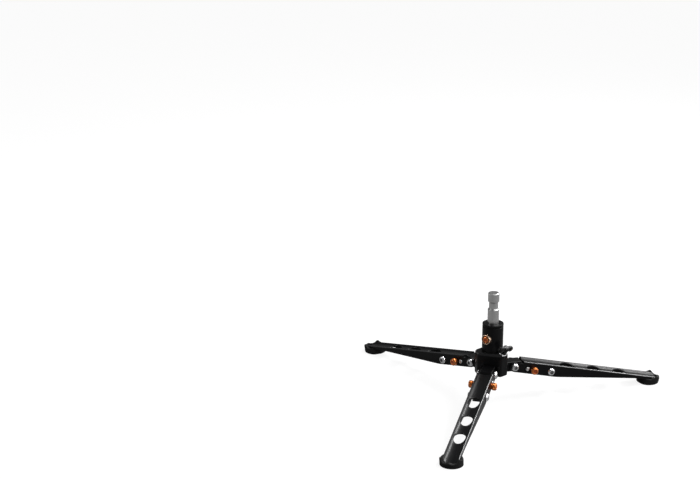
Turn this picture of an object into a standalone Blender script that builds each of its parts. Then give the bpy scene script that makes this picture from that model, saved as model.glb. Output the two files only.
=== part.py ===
"""A low floor stand: three folding channel legs on a hub, and a turning column with a 16 mm spigot.

Metres, +Z up, the front leg along -Y, and the floor at Z = 0.
"""

import math

import bmesh
import bpy
from mathutils import Matrix, Vector

# Fits
GAP = 0.0003
THROUGH = 0.0200
FACET_ANGLE = math.radians(22.5)
SMALL_ROUND = 0.0050

# Legs
LEG_AZIMUTHS = {"front": -90.0, "right": 30.0, "left": 150.0}
LEG_SLOPE = 12.0
LEG_HALF_WIDTH = 0.0115
LEG_WALL = 0.0020
LEG_TOP = 0.0100
LEG_BOTTOM = -0.0071
LEG_RIM_RADIUS = 0.0012
LEG_TROUGH_DEPTH = 0.0022
PLATE_START = 0.0133
FLANGE_TOP = 0.0065
FLANGE_END = -0.0071
FLANGE_ROUND_BELOW = 0.0068
FLANGE_ROUND_ABOVE = 0.0062
PLATE_NOTCH = 0.0016
PLATE_NOTCH_RADIUS = 0.0012
TAPER_START = 0.0650
TAPER_BEFORE_FOOT = 0.0261
TAPER_BLEND = 0.0600
TIP_EDGE = 0.0052
FOOT_ALONG = 0.2121
AXIS_AT_FOOT = 0.0007
HOLE_WIDTH = 0.0170
HOLE_LENGTH = 0.0230
HOLE_PLACES = (0.0825, 0.1250, 0.1660)

# Bolts, pins and knobs across each leg, by their distance from the pivot
PIVOT_RADIUS = 0.0310
PIN_ALONG = 0.0190
KNOB_ALONG = 0.0282
ANCHOR_ALONG = 0.0555
SLEEVE_RADIUS = 0.0030
SLEEVE_BORE = 0.0023
SCREW_RADIUS = 0.0020
HEAD_RADIUS = 0.0060
HEAD_HEIGHT = 0.0026
HEX_SOCKET = 0.0036
HEX_DEPTH = 0.0015
NUT_SOCKET_DEPTH = 0.0008
NUT_WALL = 0.0028
PIN_RADIUS = 0.0015
PIN_HEAD_RADIUS = 0.0030
PIN_HEAD_HEIGHT = 0.0015
KNOB_RADIUS = 0.0054
KNOB_HEIGHT = 0.0082
KNOB_STEM_RADIUS = 0.0020
KNOB_STEM_DEPTH = 0.0032

# Lock slider
SLIDER_TRAVEL = 0.0030
SLIDER_HALF_HEIGHT = 0.0046
SLIDER_BLOCK_END = 0.0360
SLIDER_SHOULDER = 0.0022
SLIDER_TAIL_HALF_WIDTH = 0.0070
SLIDER_END = 0.0790
SLIDER_END_RADIUS = 0.0020
SLIDER_WINDOW_WALL = 0.0030
SLIDER_TAIL_TOP = 0.0010
SPRING_RADIUS = 0.0023
SPRING_WIRE = 0.0004
SPRING_CURLS = 5

# Hub
HUB_FACE = 0.0178
HUB_CORNER = 0.0238
HUB_EDGE_RADIUS = 0.0034
HUB_BELOW_PIVOT = 0.0083
HUB_ABOVE_PIVOT = 0.0257
HUB_SHOULDER_INSET = 0.0022
HUB_SHOULDER_HEIGHT = 0.0045
HUB_CHAMFER = 0.0016
ARM_END_RADIUS = 0.0122
ARM_ABOVE_PIVOT = 0.0072
ARM_BELOW_PIVOT = 0.0070
WASHER_THICKNESS = 0.0005
WASHER_RADIUS = 0.0070

# Column and spigot
COLUMN_RADIUS = 0.0150
COLUMN_JOURNAL = 0.0125
COLUMN_SEAT_DEPTH = 0.0004
COLUMN_TOP_ABOVE_PIVOT = 0.0662
COLUMN_CHAMFER = 0.0005
COLLAR_HEIGHT = 0.0030
COLLAR_NECK_RADIUS = 0.0142
COLLAR_NECK_HEIGHT = 0.0012
COLLAR_STEM_RADIUS = 0.0110
COLLAR_STEM_DEPTH = 0.0065
SOCKET_DEPTH = 0.0590
SPIGOT_RADIUS = 0.0080
SPIGOT_HEIGHT = 0.0450
SPIGOT_NECK_RADIUS = 0.0064
SPIGOT_NECK_BELOW_TIP = 0.0125
SPIGOT_NECK_LENGTH = 0.0120
SPIGOT_NECK_SLOPE = 0.0016
SPIGOT_CHAMFER = 0.0010
CAP_RADIUS = 0.0145
CAP_THICKNESS = 0.0028
CAP_SUNK = 0.0010
CAP_SCREW_RADIUS = 0.0020
COLUMN_WEB = 0.0029
CAP_HEAD_RADIUS = 0.0042
CAP_HEAD_HEIGHT = 0.0016
CAP_HEX_SOCKET = 0.0025

# Release button in the column
BUTTON_AZIMUTH = -112.2
BUTTON_BELOW_TOP = 0.0208
BUTTON_TRAVEL = 0.0024
BUTTON_RADIUS = 0.0043
BUTTON_PROUD = 0.0014
BUTTON_DOME = 0.0013
BUTTON_FLANGE_RADIUS = 0.0047
BUTTON_FLANGE_HEIGHT = 0.0016
BUTTON_STEM_RADIUS = 0.0019
BUTTON_SPRING_RADIUS = 0.0034
BUTTON_SPRING_WIRE = 0.00025
BUTTON_SPRING_CURLS = 2
BEZEL_RADIUS = 0.0077
BEZEL_PROUD = 0.0027
BEZEL_LIP = 0.0012
BEZEL_WALL = 0.0007
BEZEL_WEB = 0.0012
BEZEL_POCKET = 0.0100
LOCK_PIN_RADIUS = 0.0021
LOCK_PIN_REACH = 0.0020
LOCK_PIN_LENGTH = 0.0080
LOCK_PIN_ROUND = 0.0006
PIN_SPRING_SPACE = 0.0070
PIN_SPRING_RADIUS = 0.0016
PIN_SPRING_WIRE = 0.0003
PIN_SPRING_CURLS = 4

# Wing knob on the hub's corner
CLAMP_AZIMUTH = -34.0
CLAMP_ELEVATION = 57.0
CLAMP_SEAT_RADIUS = 0.02085
CLAMP_SEAT_ABOVE_PIVOT = 0.0255
CLAMP_BOSS_RADIUS = 0.0062
CLAMP_BOSS_DEPTH = 0.0120
CLAMP_STUD_RADIUS = 0.0025
CLAMP_TIP_RADIUS = 0.0008
FERRULE_RADIUS = 0.0058
FERRULE_HEIGHT = 0.0018
FERRULE_CHAMFER = 0.0005
WING_TURN = 81.0
WING_HUB_RADIUS = 0.0046
WING_HUB_HEIGHT = 0.0128
WING_REACH = 0.0122
WING_DEPTH = 0.0076
WING_THICKNESS = 0.0044
WING_BEVEL = 0.0010
STUD_IN_HANDLE = 0.0060

# Feet
FOOT_RADIUS = 0.0160
FOOT_RIM = 0.0113
FOOT_RECESS_GAP = 0.0006
FOOT_WALL_TOP = 0.0070
FOOT_LIP_START = 0.0024
FOOT_LIP_SLANT = 0.0020
FOOT_EDGE_RADIUS = 0.0040
FOOT_RIM_CHAMFER = 0.0008
FOOT_BLANK_DEPTH = 0.0060
FOOT_BOSS_RADIUS = 0.0042
FOOT_BOSS_DEPTH = 0.0026
FOOT_SCREW_RADIUS = 0.0015
FOOT_SCREW_HEAD_RADIUS = 0.0028
FOOT_SCREW_HEAD_HEIGHT = 0.0010
FOOT_SCREW_RECESS = 0.0024
FOOT_SCREW_COVER = 0.0014

# Places that follow from the sizes above
SLOPE = math.radians(LEG_SLOPE)
PIVOT_HEIGHT = FOOT_ALONG * math.sin(SLOPE) + AXIS_AT_FOOT
TAPER_END = FOOT_ALONG - TAPER_BEFORE_FOOT
LEG_INNER = LEG_HALF_WIDTH - LEG_WALL
ARM_HALF_WIDTH = LEG_INNER - WASHER_THICKNESS - 2 * GAP
HEAD_FACE = LEG_HALF_WIDTH + GAP
HUB_TOP = PIVOT_HEIGHT + HUB_ABOVE_PIVOT
HUB_BOTTOM = PIVOT_HEIGHT - HUB_BELOW_PIVOT
COLUMN_SEAT = HUB_TOP - COLUMN_SEAT_DEPTH
COLUMN_TOP = PIVOT_HEIGHT + COLUMN_TOP_ABOVE_PIVOT
CAP_CEILING = HUB_BOTTOM + CAP_SUNK + CAP_THICKNESS + GAP
SOCKET_FLOOR = COLUMN_TOP - SOCKET_DEPTH
CAP_SCREW_END = SOCKET_FLOOR - COLUMN_WEB
FOOT_RIM_CENTRE = PIVOT_RADIUS + FOOT_ALONG * math.cos(SLOPE) + FOOT_RIM * math.sin(SLOPE)


def plan_extent(direction):
    """How far a tilted foot's round rim reaches along a plan direction given in degrees from its leg."""
    turn = math.radians(direction)
    along = FOOT_RADIUS * math.cos(SLOPE) * math.cos(turn)
    across = FOOT_RADIUS * math.sin(turn)
    return FOOT_RIM_CENTRE * math.cos(turn) + math.hypot(along, across)


AXIS_Y = (plan_extent(0.0) - plan_extent(60.0)) / 2


# Scene, collections and materials
def empty_scene():
    for item in list(bpy.data.objects):
        bpy.data.objects.remove(item, do_unlink=True)


def new_collection(name):
    group = bpy.data.collections.new(name)
    bpy.context.scene.collection.children.link(group)
    return group


def new_material(name, colour, roughness, metallic):
    made = bpy.data.materials.new(name)
    made.use_nodes = True
    shader = made.node_tree.nodes["Principled BSDF"]
    shader.inputs["Base Color"].default_value = (*colour, 1.0)
    shader.inputs["Roughness"].default_value = roughness
    shader.inputs["Metallic"].default_value = metallic
    made.diffuse_color = (*colour, 1.0)
    return made


# Outlines
def rounded(corners):
    """Points of a closed outline from (x, y, radius) corners, each rounded by an arc of its radius."""
    points = []
    for i, (x, y, radius) in enumerate(corners):
        here = Vector((x, y))
        back = (Vector(corners[i - 1][:2]) - here).normalized()
        ahead = (Vector(corners[(i + 1) % len(corners)][:2]) - here).normalized()
        if radius <= 0:
            points.append(tuple(here))
            continue
        opening = back.angle(ahead)
        centre = here + (back + ahead).normalized() * radius / math.sin(opening / 2)
        start = here + back * radius / math.tan(opening / 2) - centre
        end = here + ahead * radius / math.tan(opening / 2) - centre
        sweep = start.angle_signed(end)
        facet = FACET_ANGLE if radius > SMALL_ROUND else 2 * FACET_ANGLE
        steps = max(1, math.ceil(abs(sweep) / facet - 0.01))
        for k in range(steps + 1):
            turned_by = Matrix.Rotation(-sweep * k / steps, 2)
            points.append(tuple(centre + turned_by @ start))
    return points


def slot_outline(start, end, radius, height=0.0):
    """A straight slot with round ends, along the first axis."""
    return rounded([
        (start - radius, height - radius, radius * 0.999),
        (end + radius, height - radius, radius * 0.999),
        (end + radius, height + radius, radius * 0.999),
        (start - radius, height + radius, radius * 0.999),
    ])


# Meshes
def mesh_of(item):
    """The evaluated mesh of a helper object, which is then removed."""
    bpy.context.scene.collection.objects.link(item)
    bpy.context.view_layer.update()
    graph = bpy.context.evaluated_depsgraph_get()
    made = bpy.data.meshes.new_from_object(item.evaluated_get(graph))
    bpy.data.objects.remove(item, do_unlink=True)
    return made


def weld(mesh, distance=0.000001):
    shape = bmesh.new()
    shape.from_mesh(mesh)
    bmesh.ops.remove_doubles(shape, verts=shape.verts, dist=distance)
    bmesh.ops.recalc_face_normals(shape, faces=shape.faces)
    shape.to_mesh(mesh)
    shape.free()
    return mesh


def smooth(mesh):
    mesh.shade_smooth()
    mesh.set_sharp_from_angle(angle=math.radians(35))
    return mesh


def prism(outline, low, high, side="top"):
    """A flat outline with thickness: seen from the top, from the side, or from the leg's end."""
    curve = bpy.data.curves.new("outline", "CURVE")
    curve.dimensions = "2D"
    curve.fill_mode = "BOTH"
    curve.extrude = (high - low) / 2
    line = curve.splines.new("POLY")
    line.points.add(len(outline) - 1)
    for point, (x, y) in zip(line.points, outline):
        point.co = (x, y, 0.0, 1.0)
    line.use_cyclic_u = True
    made = weld(mesh_of(bpy.data.objects.new("outline", curve)))
    bpy.data.curves.remove(curve)
    made.transform(Matrix.Translation((0.0, 0.0, (low + high) / 2)))
    if side == "side":
        made.transform(Matrix(((1, 0, 0, 0), (0, 0, -1, 0), (0, 1, 0, 0), (0, 0, 0, 1))))
    if side == "end":
        made.transform(Matrix(((0, 0, 1, 0), (1, 0, 0, 0), (0, 1, 0, 0), (0, 0, 0, 1))))
    return made


def revolve(profile, steps, closed=False):
    """A turned solid about Z. The profile runs down its outer side; a ring's profile is closed."""
    line = bpy.data.meshes.new("profile")
    count = len(profile)
    edges = [(i, i + 1) for i in range(count - 1)]
    if closed:
        edges.append((count - 1, 0))
    line.from_pydata([(r, 0.0, z) for r, z in profile], edges, [])
    item = bpy.data.objects.new("profile", line)
    screw = item.modifiers.new("Screw", "SCREW")
    screw.steps = steps
    screw.render_steps = steps
    screw.use_merge_vertices = True
    screw.merge_threshold = 0.00001
    made = weld(mesh_of(item))
    bpy.data.meshes.remove(line)
    return smooth(made)


def cylinder(radius, low, high, steps=24):
    shape = bmesh.new()
    middle = Matrix.Translation((0.0, 0.0, (low + high) / 2))
    bmesh.ops.create_cone(shape, cap_ends=True, segments=steps, radius1=radius, radius2=radius,
                          depth=high - low, matrix=middle)
    made = bpy.data.meshes.new("cylinder")
    shape.to_mesh(made)
    shape.free()
    return smooth(made)


def box(low, high):
    shape = bmesh.new()
    size = Vector(high) - Vector(low)
    centre = (Vector(high) + Vector(low)) / 2
    bmesh.ops.create_cube(shape, size=1.0, matrix=Matrix.Translation(centre) @ Matrix.Diagonal((*size, 1.0)))
    made = bpy.data.meshes.new("box")
    shape.to_mesh(made)
    shape.free()
    return made


def moved(mesh, matrix):
    mesh.transform(matrix)
    return mesh


def coil(radius, wire, low, high, curls, steps=8):
    """A spring of round wire about Z, from one end to the other."""
    curve = bpy.data.curves.new("coil", "CURVE")
    curve.dimensions = "3D"
    curve.bevel_depth = wire
    curve.bevel_resolution = 1
    curve.use_fill_caps = True
    line = curve.splines.new("POLY")
    count = round(curls * steps) + 1
    line.points.add(count - 1)
    for i, point in enumerate(line.points):
        turn = 2 * math.pi * i / steps
        height = low + wire + (high - low - 2 * wire) * i / (count - 1)
        point.co = (radius * math.cos(turn), radius * math.sin(turn), height, 1.0)
    made = weld(mesh_of(bpy.data.objects.new("coil", curve)))
    bpy.data.curves.remove(curve)
    return smooth(made)


def combined(mesh, others, operation):
    """The mesh with each of the other meshes cut from it, joined to it, or kept as its common part."""
    item = bpy.data.objects.new("shape", mesh)
    helpers = []
    for other in others:
        helper = bpy.data.objects.new("helper", other)
        bpy.context.scene.collection.objects.link(helper)
        helpers.append(helper)
        modifier = item.modifiers.new("Boolean", "BOOLEAN")
        modifier.operation = operation
        modifier.solver = "EXACT"
        modifier.object = helper
    made = mesh_of(item)
    for helper in helpers:
        bpy.data.objects.remove(helper, do_unlink=True)
    return made


def bevelled(mesh, width, segments, angle=40.0):
    item = bpy.data.objects.new("shape", mesh)
    modifier = item.modifiers.new("Bevel", "BEVEL")
    modifier.width = width
    modifier.segments = segments
    modifier.limit_method = "ANGLE"
    modifier.angle_limit = math.radians(angle)
    return mesh_of(item)


# Frames that pieces are placed in
def turned_to(azimuth):
    return Matrix.Rotation(math.radians(azimuth), 4, "Z")


STAND_FRAME = Matrix.Translation((0.0, AXIS_Y, 0.0))
ACROSS = Matrix.Rotation(math.radians(-90), 4, "X")
OUTWARD = Matrix.Rotation(math.radians(90), 4, "Y")


def leg_frame(azimuth):
    pivot = Matrix.Translation((PIVOT_RADIUS, 0.0, PIVOT_HEIGHT))
    return STAND_FRAME @ turned_to(azimuth) @ pivot @ Matrix.Rotation(SLOPE, 4, "Y")


def button_frame():
    height = Matrix.Translation((0.0, 0.0, COLUMN_TOP - BUTTON_BELOW_TOP))
    return turned_to(BUTTON_AZIMUTH) @ height @ OUTWARD


def clamp_frame():
    seat = Matrix.Translation((CLAMP_SEAT_RADIUS, 0.0, PIVOT_HEIGHT + CLAMP_SEAT_ABOVE_PIVOT))
    return turned_to(CLAMP_AZIMUTH) @ seat @ Matrix.Rotation(math.radians(90 - CLAMP_ELEVATION), 4, "Y")


def add_empty(name, matrix, group):
    marker = bpy.data.objects.new(name, None)
    marker.empty_display_size = 0.01
    group.objects.link(marker)
    marker.matrix_world = matrix
    return marker


def add_piece(name, mesh, material, group, parent, matrix=Matrix.Identity(4)):
    item = bpy.data.objects.new(name, mesh)
    if not mesh.materials:
        mesh.materials.append(material)
    group.objects.link(item)
    item.parent = parent
    item.matrix_local = matrix
    return item


def add_cutter(name, mesh, group, parent, target, operation="DIFFERENCE", matrix=Matrix.Identity(4)):
    helper = bpy.data.objects.new(name, mesh)
    group.objects.link(helper)
    helper.parent = parent
    helper.matrix_local = matrix
    helper.hide_render = True
    helper.display_type = "WIRE"
    modifier = target.modifiers.new(name, "BOOLEAN")
    modifier.operation = operation
    modifier.solver = "EXACT"
    modifier.object = helper
    return helper


# Leg channel: a dished top plate with raised rims and two side flanges
def trough(v):
    """Height of the plate's top at a distance v from the middle, a parabola between the rims."""
    rim_foot = LEG_HALF_WIDTH - 1.5 * LEG_RIM_RADIUS
    return LEG_TOP - LEG_TROUGH_DEPTH * (1 - (v / rim_foot) ** 2)


def channel_section():
    """The closed section of the channel in (across, up), from one flange's foot round to the other's."""
    rim_side = LEG_HALF_WIDTH - LEG_RIM_RADIUS
    rim_height = LEG_TOP - LEG_RIM_RADIUS
    outer = [(LEG_HALF_WIDTH, LEG_BOTTOM - LEG_WALL)]
    for turn in (0, 40, 80, 120):
        a = math.radians(turn)
        outer.append((rim_side + LEG_RIM_RADIUS * math.cos(a), rim_height + LEG_RIM_RADIUS * math.sin(a)))
    outer += [(v, trough(v)) for v in (LEG_HALF_WIDTH * 0.45, 0.0)]
    under_rim = LEG_INNER - LEG_RIM_RADIUS
    inner = [(0.0, trough(0.0) - LEG_WALL), (under_rim, trough(under_rim) - LEG_WALL)]
    inner.append((LEG_INNER, trough(under_rim) - LEG_WALL - LEG_RIM_RADIUS))
    inner.append((LEG_INNER, LEG_BOTTOM - LEG_WALL))
    outer_left = [(-v, w) for v, w in reversed(outer[:-1])]
    inner_left = [(-v, w) for v, w in reversed(inner[1:])]
    return outer + outer_left + inner_left + inner


def channel_side():
    """The channel's outline from the side: round at the pivot, deep by the hub and shallow at the tip."""
    far = FOOT_ALONG + 2 * LEG_HALF_WIDTH
    return rounded([
        (FLANGE_END, LEG_BOTTOM, FLANGE_ROUND_BELOW),
        (TAPER_START, LEG_BOTTOM, TAPER_BLEND),
        (TAPER_END, TIP_EDGE, TAPER_BLEND),
        (far, TIP_EDGE, 0.0),
        (far, 2 * LEG_TOP, 0.0),
        (PLATE_START, 2 * LEG_TOP, 0.0),
        (PLATE_START - PLATE_NOTCH, FLANGE_TOP, PLATE_NOTCH_RADIUS),
        (FLANGE_END, FLANGE_TOP, FLANGE_ROUND_ABOVE),
    ])


def channel_plan():
    """The channel's outline from above, with a half-round tip over the foot."""
    tip = FOOT_ALONG + LEG_HALF_WIDTH
    reach = LEG_HALF_WIDTH * 1.001
    return rounded([
        (-THROUGH, -reach, 0.0),
        (tip, -reach, reach * 0.999),
        (tip, reach, reach * 0.999),
        (-THROUGH, reach, 0.0),
    ])


def leg_channel_mesh():
    """The bent channel with its foot boss, its open mouth at the pivot, three ovals and all its holes."""
    channel = prism(channel_section(), 2 * FLANGE_END, FOOT_ALONG + 2 * LEG_HALF_WIDTH, "end")
    channel = combined(channel, [
        prism(channel_side(), -THROUGH, THROUGH, "side"),
        prism(channel_plan(), -THROUGH, THROUGH),
    ], "INTERSECT")
    under_plate = trough(0.0) - LEG_WALL
    boss = cylinder(FOOT_BOSS_RADIUS, under_plate - FOOT_BOSS_DEPTH, under_plate + LEG_WALL / 2, 14)
    channel = combined(channel, [moved(boss, foot_axis())], "UNION")
    cuts = [box((-THROUGH, -LEG_INNER, 0.0), (PLATE_START, LEG_INNER, 2 * LEG_TOP))]
    half_length = HOLE_LENGTH / 2 - HOLE_WIDTH / 2
    for place in HOLE_PLACES:
        oval = slot_outline(place - half_length, place + half_length, HOLE_WIDTH / 2)
        cuts.append(prism(oval, 0.0, THROUGH))
    for along, radius in ((0.0, SLEEVE_RADIUS), (PIN_ALONG, PIN_RADIUS), (ANCHOR_ALONG, SLEEVE_RADIUS)):
        hole = cylinder(radius + GAP, -THROUGH, THROUGH, 12)
        cuts.append(moved(hole, Matrix.Translation((along, 0.0, 0.0)) @ ACROSS))
    knob_slot = slot_outline(KNOB_ALONG, KNOB_ALONG + SLIDER_TRAVEL, KNOB_STEM_RADIUS + GAP)
    cuts.append(prism(knob_slot, -THROUGH, THROUGH, "side"))
    screw_hole = cylinder(FOOT_SCREW_RADIUS + GAP, 0.0, trough(0.0) - FOOT_SCREW_COVER, 10)
    cuts.append(moved(screw_hole, foot_axis()))
    return smooth(combined(channel, cuts, "DIFFERENCE"))


# Bolts, nuts, pin and knobs that cross the leg
def hexagon_prism(across_flats, low, high):
    return cylinder(across_flats / math.sqrt(3), low, high, 6)


def bolt_mesh():
    """A button-head screw whose head lies on the channel's +Z side, with its shank in the sleeve nut."""
    top = HEAD_FACE + HEAD_HEIGHT
    profile = [
        (0.0, top),
        (HEAD_RADIUS * 0.62, top),
        (HEAD_RADIUS, top - HEAD_HEIGHT * 0.60),
        (HEAD_RADIUS, HEAD_FACE),
        (SCREW_RADIUS, HEAD_FACE),
        (SCREW_RADIUS, -HEAD_FACE + NUT_WALL + GAP),
        (0.0, -HEAD_FACE + NUT_WALL + GAP),
    ]
    socket = hexagon_prism(HEX_SOCKET, top - HEX_DEPTH, top + HEX_DEPTH)
    return smooth(combined(revolve(profile, 10), [socket], "DIFFERENCE"))


def sleeve_nut_mesh():
    """The other half of the bolt: a head on the -Z side and a sleeve that the leg turns on."""
    bottom = -HEAD_FACE - HEAD_HEIGHT
    profile = [
        (0.0, -HEAD_FACE + NUT_WALL),
        (SLEEVE_BORE, -HEAD_FACE + NUT_WALL),
        (SLEEVE_BORE, HEAD_FACE - GAP),
        (SLEEVE_RADIUS, HEAD_FACE - GAP),
        (SLEEVE_RADIUS, -HEAD_FACE),
        (HEAD_RADIUS, -HEAD_FACE),
        (HEAD_RADIUS, bottom + HEAD_HEIGHT * 0.60),
        (HEAD_RADIUS * 0.62, bottom),
        (0.0, bottom),
    ]
    socket = hexagon_prism(HEX_SOCKET, bottom - HEX_DEPTH, bottom + NUT_SOCKET_DEPTH)
    return smooth(combined(revolve(profile, 10), [socket], "DIFFERENCE"))


def pin_mesh():
    top = HEAD_FACE + PIN_HEAD_HEIGHT
    half = [
        (0.0, top),
        (PIN_HEAD_RADIUS * 0.7, top),
        (PIN_HEAD_RADIUS, top - PIN_HEAD_HEIGHT * 0.50),
        (PIN_HEAD_RADIUS, HEAD_FACE),
        (PIN_RADIUS, HEAD_FACE),
    ]
    return revolve(half + [(r, -z) for r, z in reversed(half)], 8)


def knob_mesh():
    """A pull knob: a stem through the flange into the slider, a waist, and a round head."""
    top = HEAD_FACE + KNOB_HEIGHT
    stem_end = slider_half_width() - KNOB_STEM_DEPTH + GAP
    return revolve([
        (0.0, top),
        (KNOB_RADIUS * 0.80, top),
        (KNOB_RADIUS, top - KNOB_HEIGHT * 0.12),
        (KNOB_RADIUS, top - KNOB_HEIGHT * 0.66),
        (KNOB_RADIUS * 0.84, top - KNOB_HEIGHT * 0.76),
        (KNOB_RADIUS * 0.84, HEAD_FACE),
        (KNOB_STEM_RADIUS, HEAD_FACE),
        (KNOB_STEM_RADIUS, stem_end),
        (0.0, stem_end),
    ], 12)


def washer_mesh():
    inner = SLEEVE_RADIUS + GAP
    half = WASHER_THICKNESS / 2
    return revolve([(inner, half), (WASHER_RADIUS, half), (WASHER_RADIUS, -half), (inner, -half)], 10, True)


# Lock slider: a block with a shoe for the arm's round end, and a slotted tail
def slider_half_width():
    return LEG_INNER - GAP


def slider_mesh():
    wide = slider_half_width()
    height = SLIDER_HALF_HEIGHT
    plan = rounded([
        (ARM_END_RADIUS / 2, -wide, 0.0),
        (SLIDER_BLOCK_END, -wide, 0.0),
        (SLIDER_BLOCK_END + SLIDER_SHOULDER, -SLIDER_TAIL_HALF_WIDTH, 0.0),
        (SLIDER_END, -SLIDER_TAIL_HALF_WIDTH, SLIDER_END_RADIUS),
        (SLIDER_END, SLIDER_TAIL_HALF_WIDTH, SLIDER_END_RADIUS),
        (SLIDER_BLOCK_END + SLIDER_SHOULDER, SLIDER_TAIL_HALF_WIDTH, 0.0),
        (SLIDER_BLOCK_END, wide, 0.0),
        (ARM_END_RADIUS / 2, wide, 0.0),
    ])
    window_end = ANCHOR_ALONG + SLEEVE_RADIUS + GAP
    window = rounded([
        (SLIDER_BLOCK_END, -SLEEVE_RADIUS - GAP, 0.0),
        (window_end, -SLEEVE_RADIUS - GAP, SLEEVE_RADIUS * 0.999),
        (window_end, SLEEVE_RADIUS + GAP, SLEEVE_RADIUS * 0.999),
        (SLIDER_BLOCK_END, SLEEVE_RADIUS + GAP, 0.0),
    ])
    pin_slot = slot_outline(PIN_ALONG - SLIDER_TRAVEL, PIN_ALONG, PIN_RADIUS + GAP)
    at_knob = Matrix.Translation((KNOB_ALONG, 0.0, 0.0)) @ ACROSS
    hole_end = wide - KNOB_STEM_DEPTH
    knob_hole = moved(cylinder(KNOB_STEM_RADIUS + GAP, hole_end, 2 * wide, 10), at_knob)
    other_hole = moved(cylinder(KNOB_STEM_RADIUS + GAP, -2 * wide, -hole_end, 10), at_knob)
    tail_start = window_end + SLIDER_WINDOW_WALL
    tail_top = box((tail_start, -THROUGH, SLIDER_TAIL_TOP), (SLIDER_END + THROUGH, THROUGH, THROUGH))
    shoe = moved(cylinder(ARM_END_RADIUS + GAP, -THROUGH, THROUGH, 48), ACROSS)
    return smooth(combined(prism(plan, -height, height), [
        shoe,
        prism(window, -THROUGH, THROUGH, "side"),
        prism(pin_slot, -THROUGH, THROUGH, "side"),
        knob_hole,
        other_hole,
        tail_top,
    ], "DIFFERENCE"))


def slider_spring_mesh():
    start = SLIDER_BLOCK_END + GAP
    end = ANCHOR_ALONG - SLEEVE_RADIUS - GAP
    return moved(coil(SPRING_RADIUS, SPRING_WIRE, start, end, SPRING_CURLS, 6), OUTWARD)


# Foot: a rubber cup with its axis square to the leg, flat on the floor
def foot_axis():
    return Matrix.Translation((FOOT_ALONG, 0.0, 0.0))


def floor_box(low, high):
    """A slab between two heights above the floor, in the leg's frame."""
    slab = box((0.0, -THROUGH, low - PIVOT_HEIGHT), (FOOT_ALONG + 2 * THROUGH, THROUGH, high - PIVOT_HEIGHT))
    return moved(slab, Matrix.Rotation(-SLOPE, 4, "Y"))


def foot_mesh():
    seat = trough(0.0) - LEG_WALL
    profile = [
        (0.0, FOOT_RIM),
        (FOOT_RADIUS - FOOT_RIM_CHAMFER, FOOT_RIM),
        (FOOT_RADIUS, FOOT_RIM - FOOT_RIM_CHAMFER),
        (FOOT_RADIUS, -AXIS_AT_FOOT + FOOT_EDGE_RADIUS),
        (FOOT_RADIUS * 0.975, -AXIS_AT_FOOT + FOOT_EDGE_RADIUS * 0.45),
        (FOOT_RADIUS * 0.90, -AXIS_AT_FOOT + FOOT_EDGE_RADIUS * 0.05),
        (FOOT_RADIUS * 0.80, -FOOT_BLANK_DEPTH),
        (0.0, -FOOT_BLANK_DEPTH),
    ]
    body = moved(revolve(profile, 24), foot_axis())
    body = combined(body, [floor_box(0.0, PIVOT_HEIGHT)], "INTERSECT")
    half = LEG_HALF_WIDTH + FOOT_RECESS_GAP
    tip = FOOT_ALONG + half
    recess = prism(rounded([
        (TAPER_END, -half, 0.0),
        (tip, -half, half * 0.999),
        (tip, half, half * 0.999),
        (TAPER_END, half, 0.0),
    ]), TIP_EDGE - GAP, THROUGH)
    lip_start = FOOT_ALONG + FOOT_LIP_START
    low_wall = prism([
        (TAPER_END, FOOT_WALL_TOP),
        (lip_start, FOOT_WALL_TOP),
        (lip_start + FOOT_LIP_SLANT, FOOT_RIM),
        (lip_start + FOOT_LIP_SLANT, THROUGH),
        (TAPER_END, THROUGH),
    ], -THROUGH, THROUGH, "side")
    boss_hole = cylinder(FOOT_BOSS_RADIUS + GAP, seat - FOOT_BOSS_DEPTH - GAP, THROUGH, 14)
    screw_hole = cylinder(FOOT_SCREW_RADIUS + GAP, -THROUGH, THROUGH, 10)
    head_hole = cylinder(FOOT_SCREW_HEAD_RADIUS + GAP, -THROUGH, foot_screw_seat(), 12)
    holes = [moved(hole, foot_axis()) for hole in (boss_hole, screw_hole, head_hole)]
    return smooth(combined(body, [recess, low_wall] + holes, "DIFFERENCE"))


def foot_screw_seat():
    """Height along the foot's axis of the ceiling of the screw head's recess."""
    return -AXIS_AT_FOOT + FOOT_SCREW_RECESS


def foot_screw_mesh():
    seat = foot_screw_seat() - GAP
    top = trough(0.0) - FOOT_SCREW_COVER - GAP
    return moved(revolve([
        (0.0, top),
        (FOOT_SCREW_RADIUS, top),
        (FOOT_SCREW_RADIUS, seat),
        (FOOT_SCREW_HEAD_RADIUS, seat),
        (FOOT_SCREW_HEAD_RADIUS * 0.9, seat - FOOT_SCREW_HEAD_HEIGHT),
        (0.0, seat - FOOT_SCREW_HEAD_HEIGHT),
    ], 10), foot_axis())


# Hub: a three-sided casting with an arm for each leg and a boss for the clamp
def hub_outline(inset):
    """The hub's plan, drawn in by a distance: a long face behind each leg and a short one between."""
    faces = []
    for azimuth in sorted(LEG_AZIMUTHS.values()):
        faces.append((azimuth, HUB_FACE - inset))
        faces.append((azimuth + 60.0, HUB_CORNER - inset))
    corners = []
    for i, (azimuth, distance) in enumerate(faces):
        next_azimuth, next_distance = faces[(i + 1) % len(faces)]
        first = math.radians(azimuth)
        turn = math.radians(60.0)
        along = (next_distance - distance * math.cos(turn)) / math.sin(turn)
        x = distance * math.cos(first) - along * math.sin(first)
        y = distance * math.sin(first) + along * math.cos(first)
        corners.append((x, y, HUB_EDGE_RADIUS))
    return rounded(corners)


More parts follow.
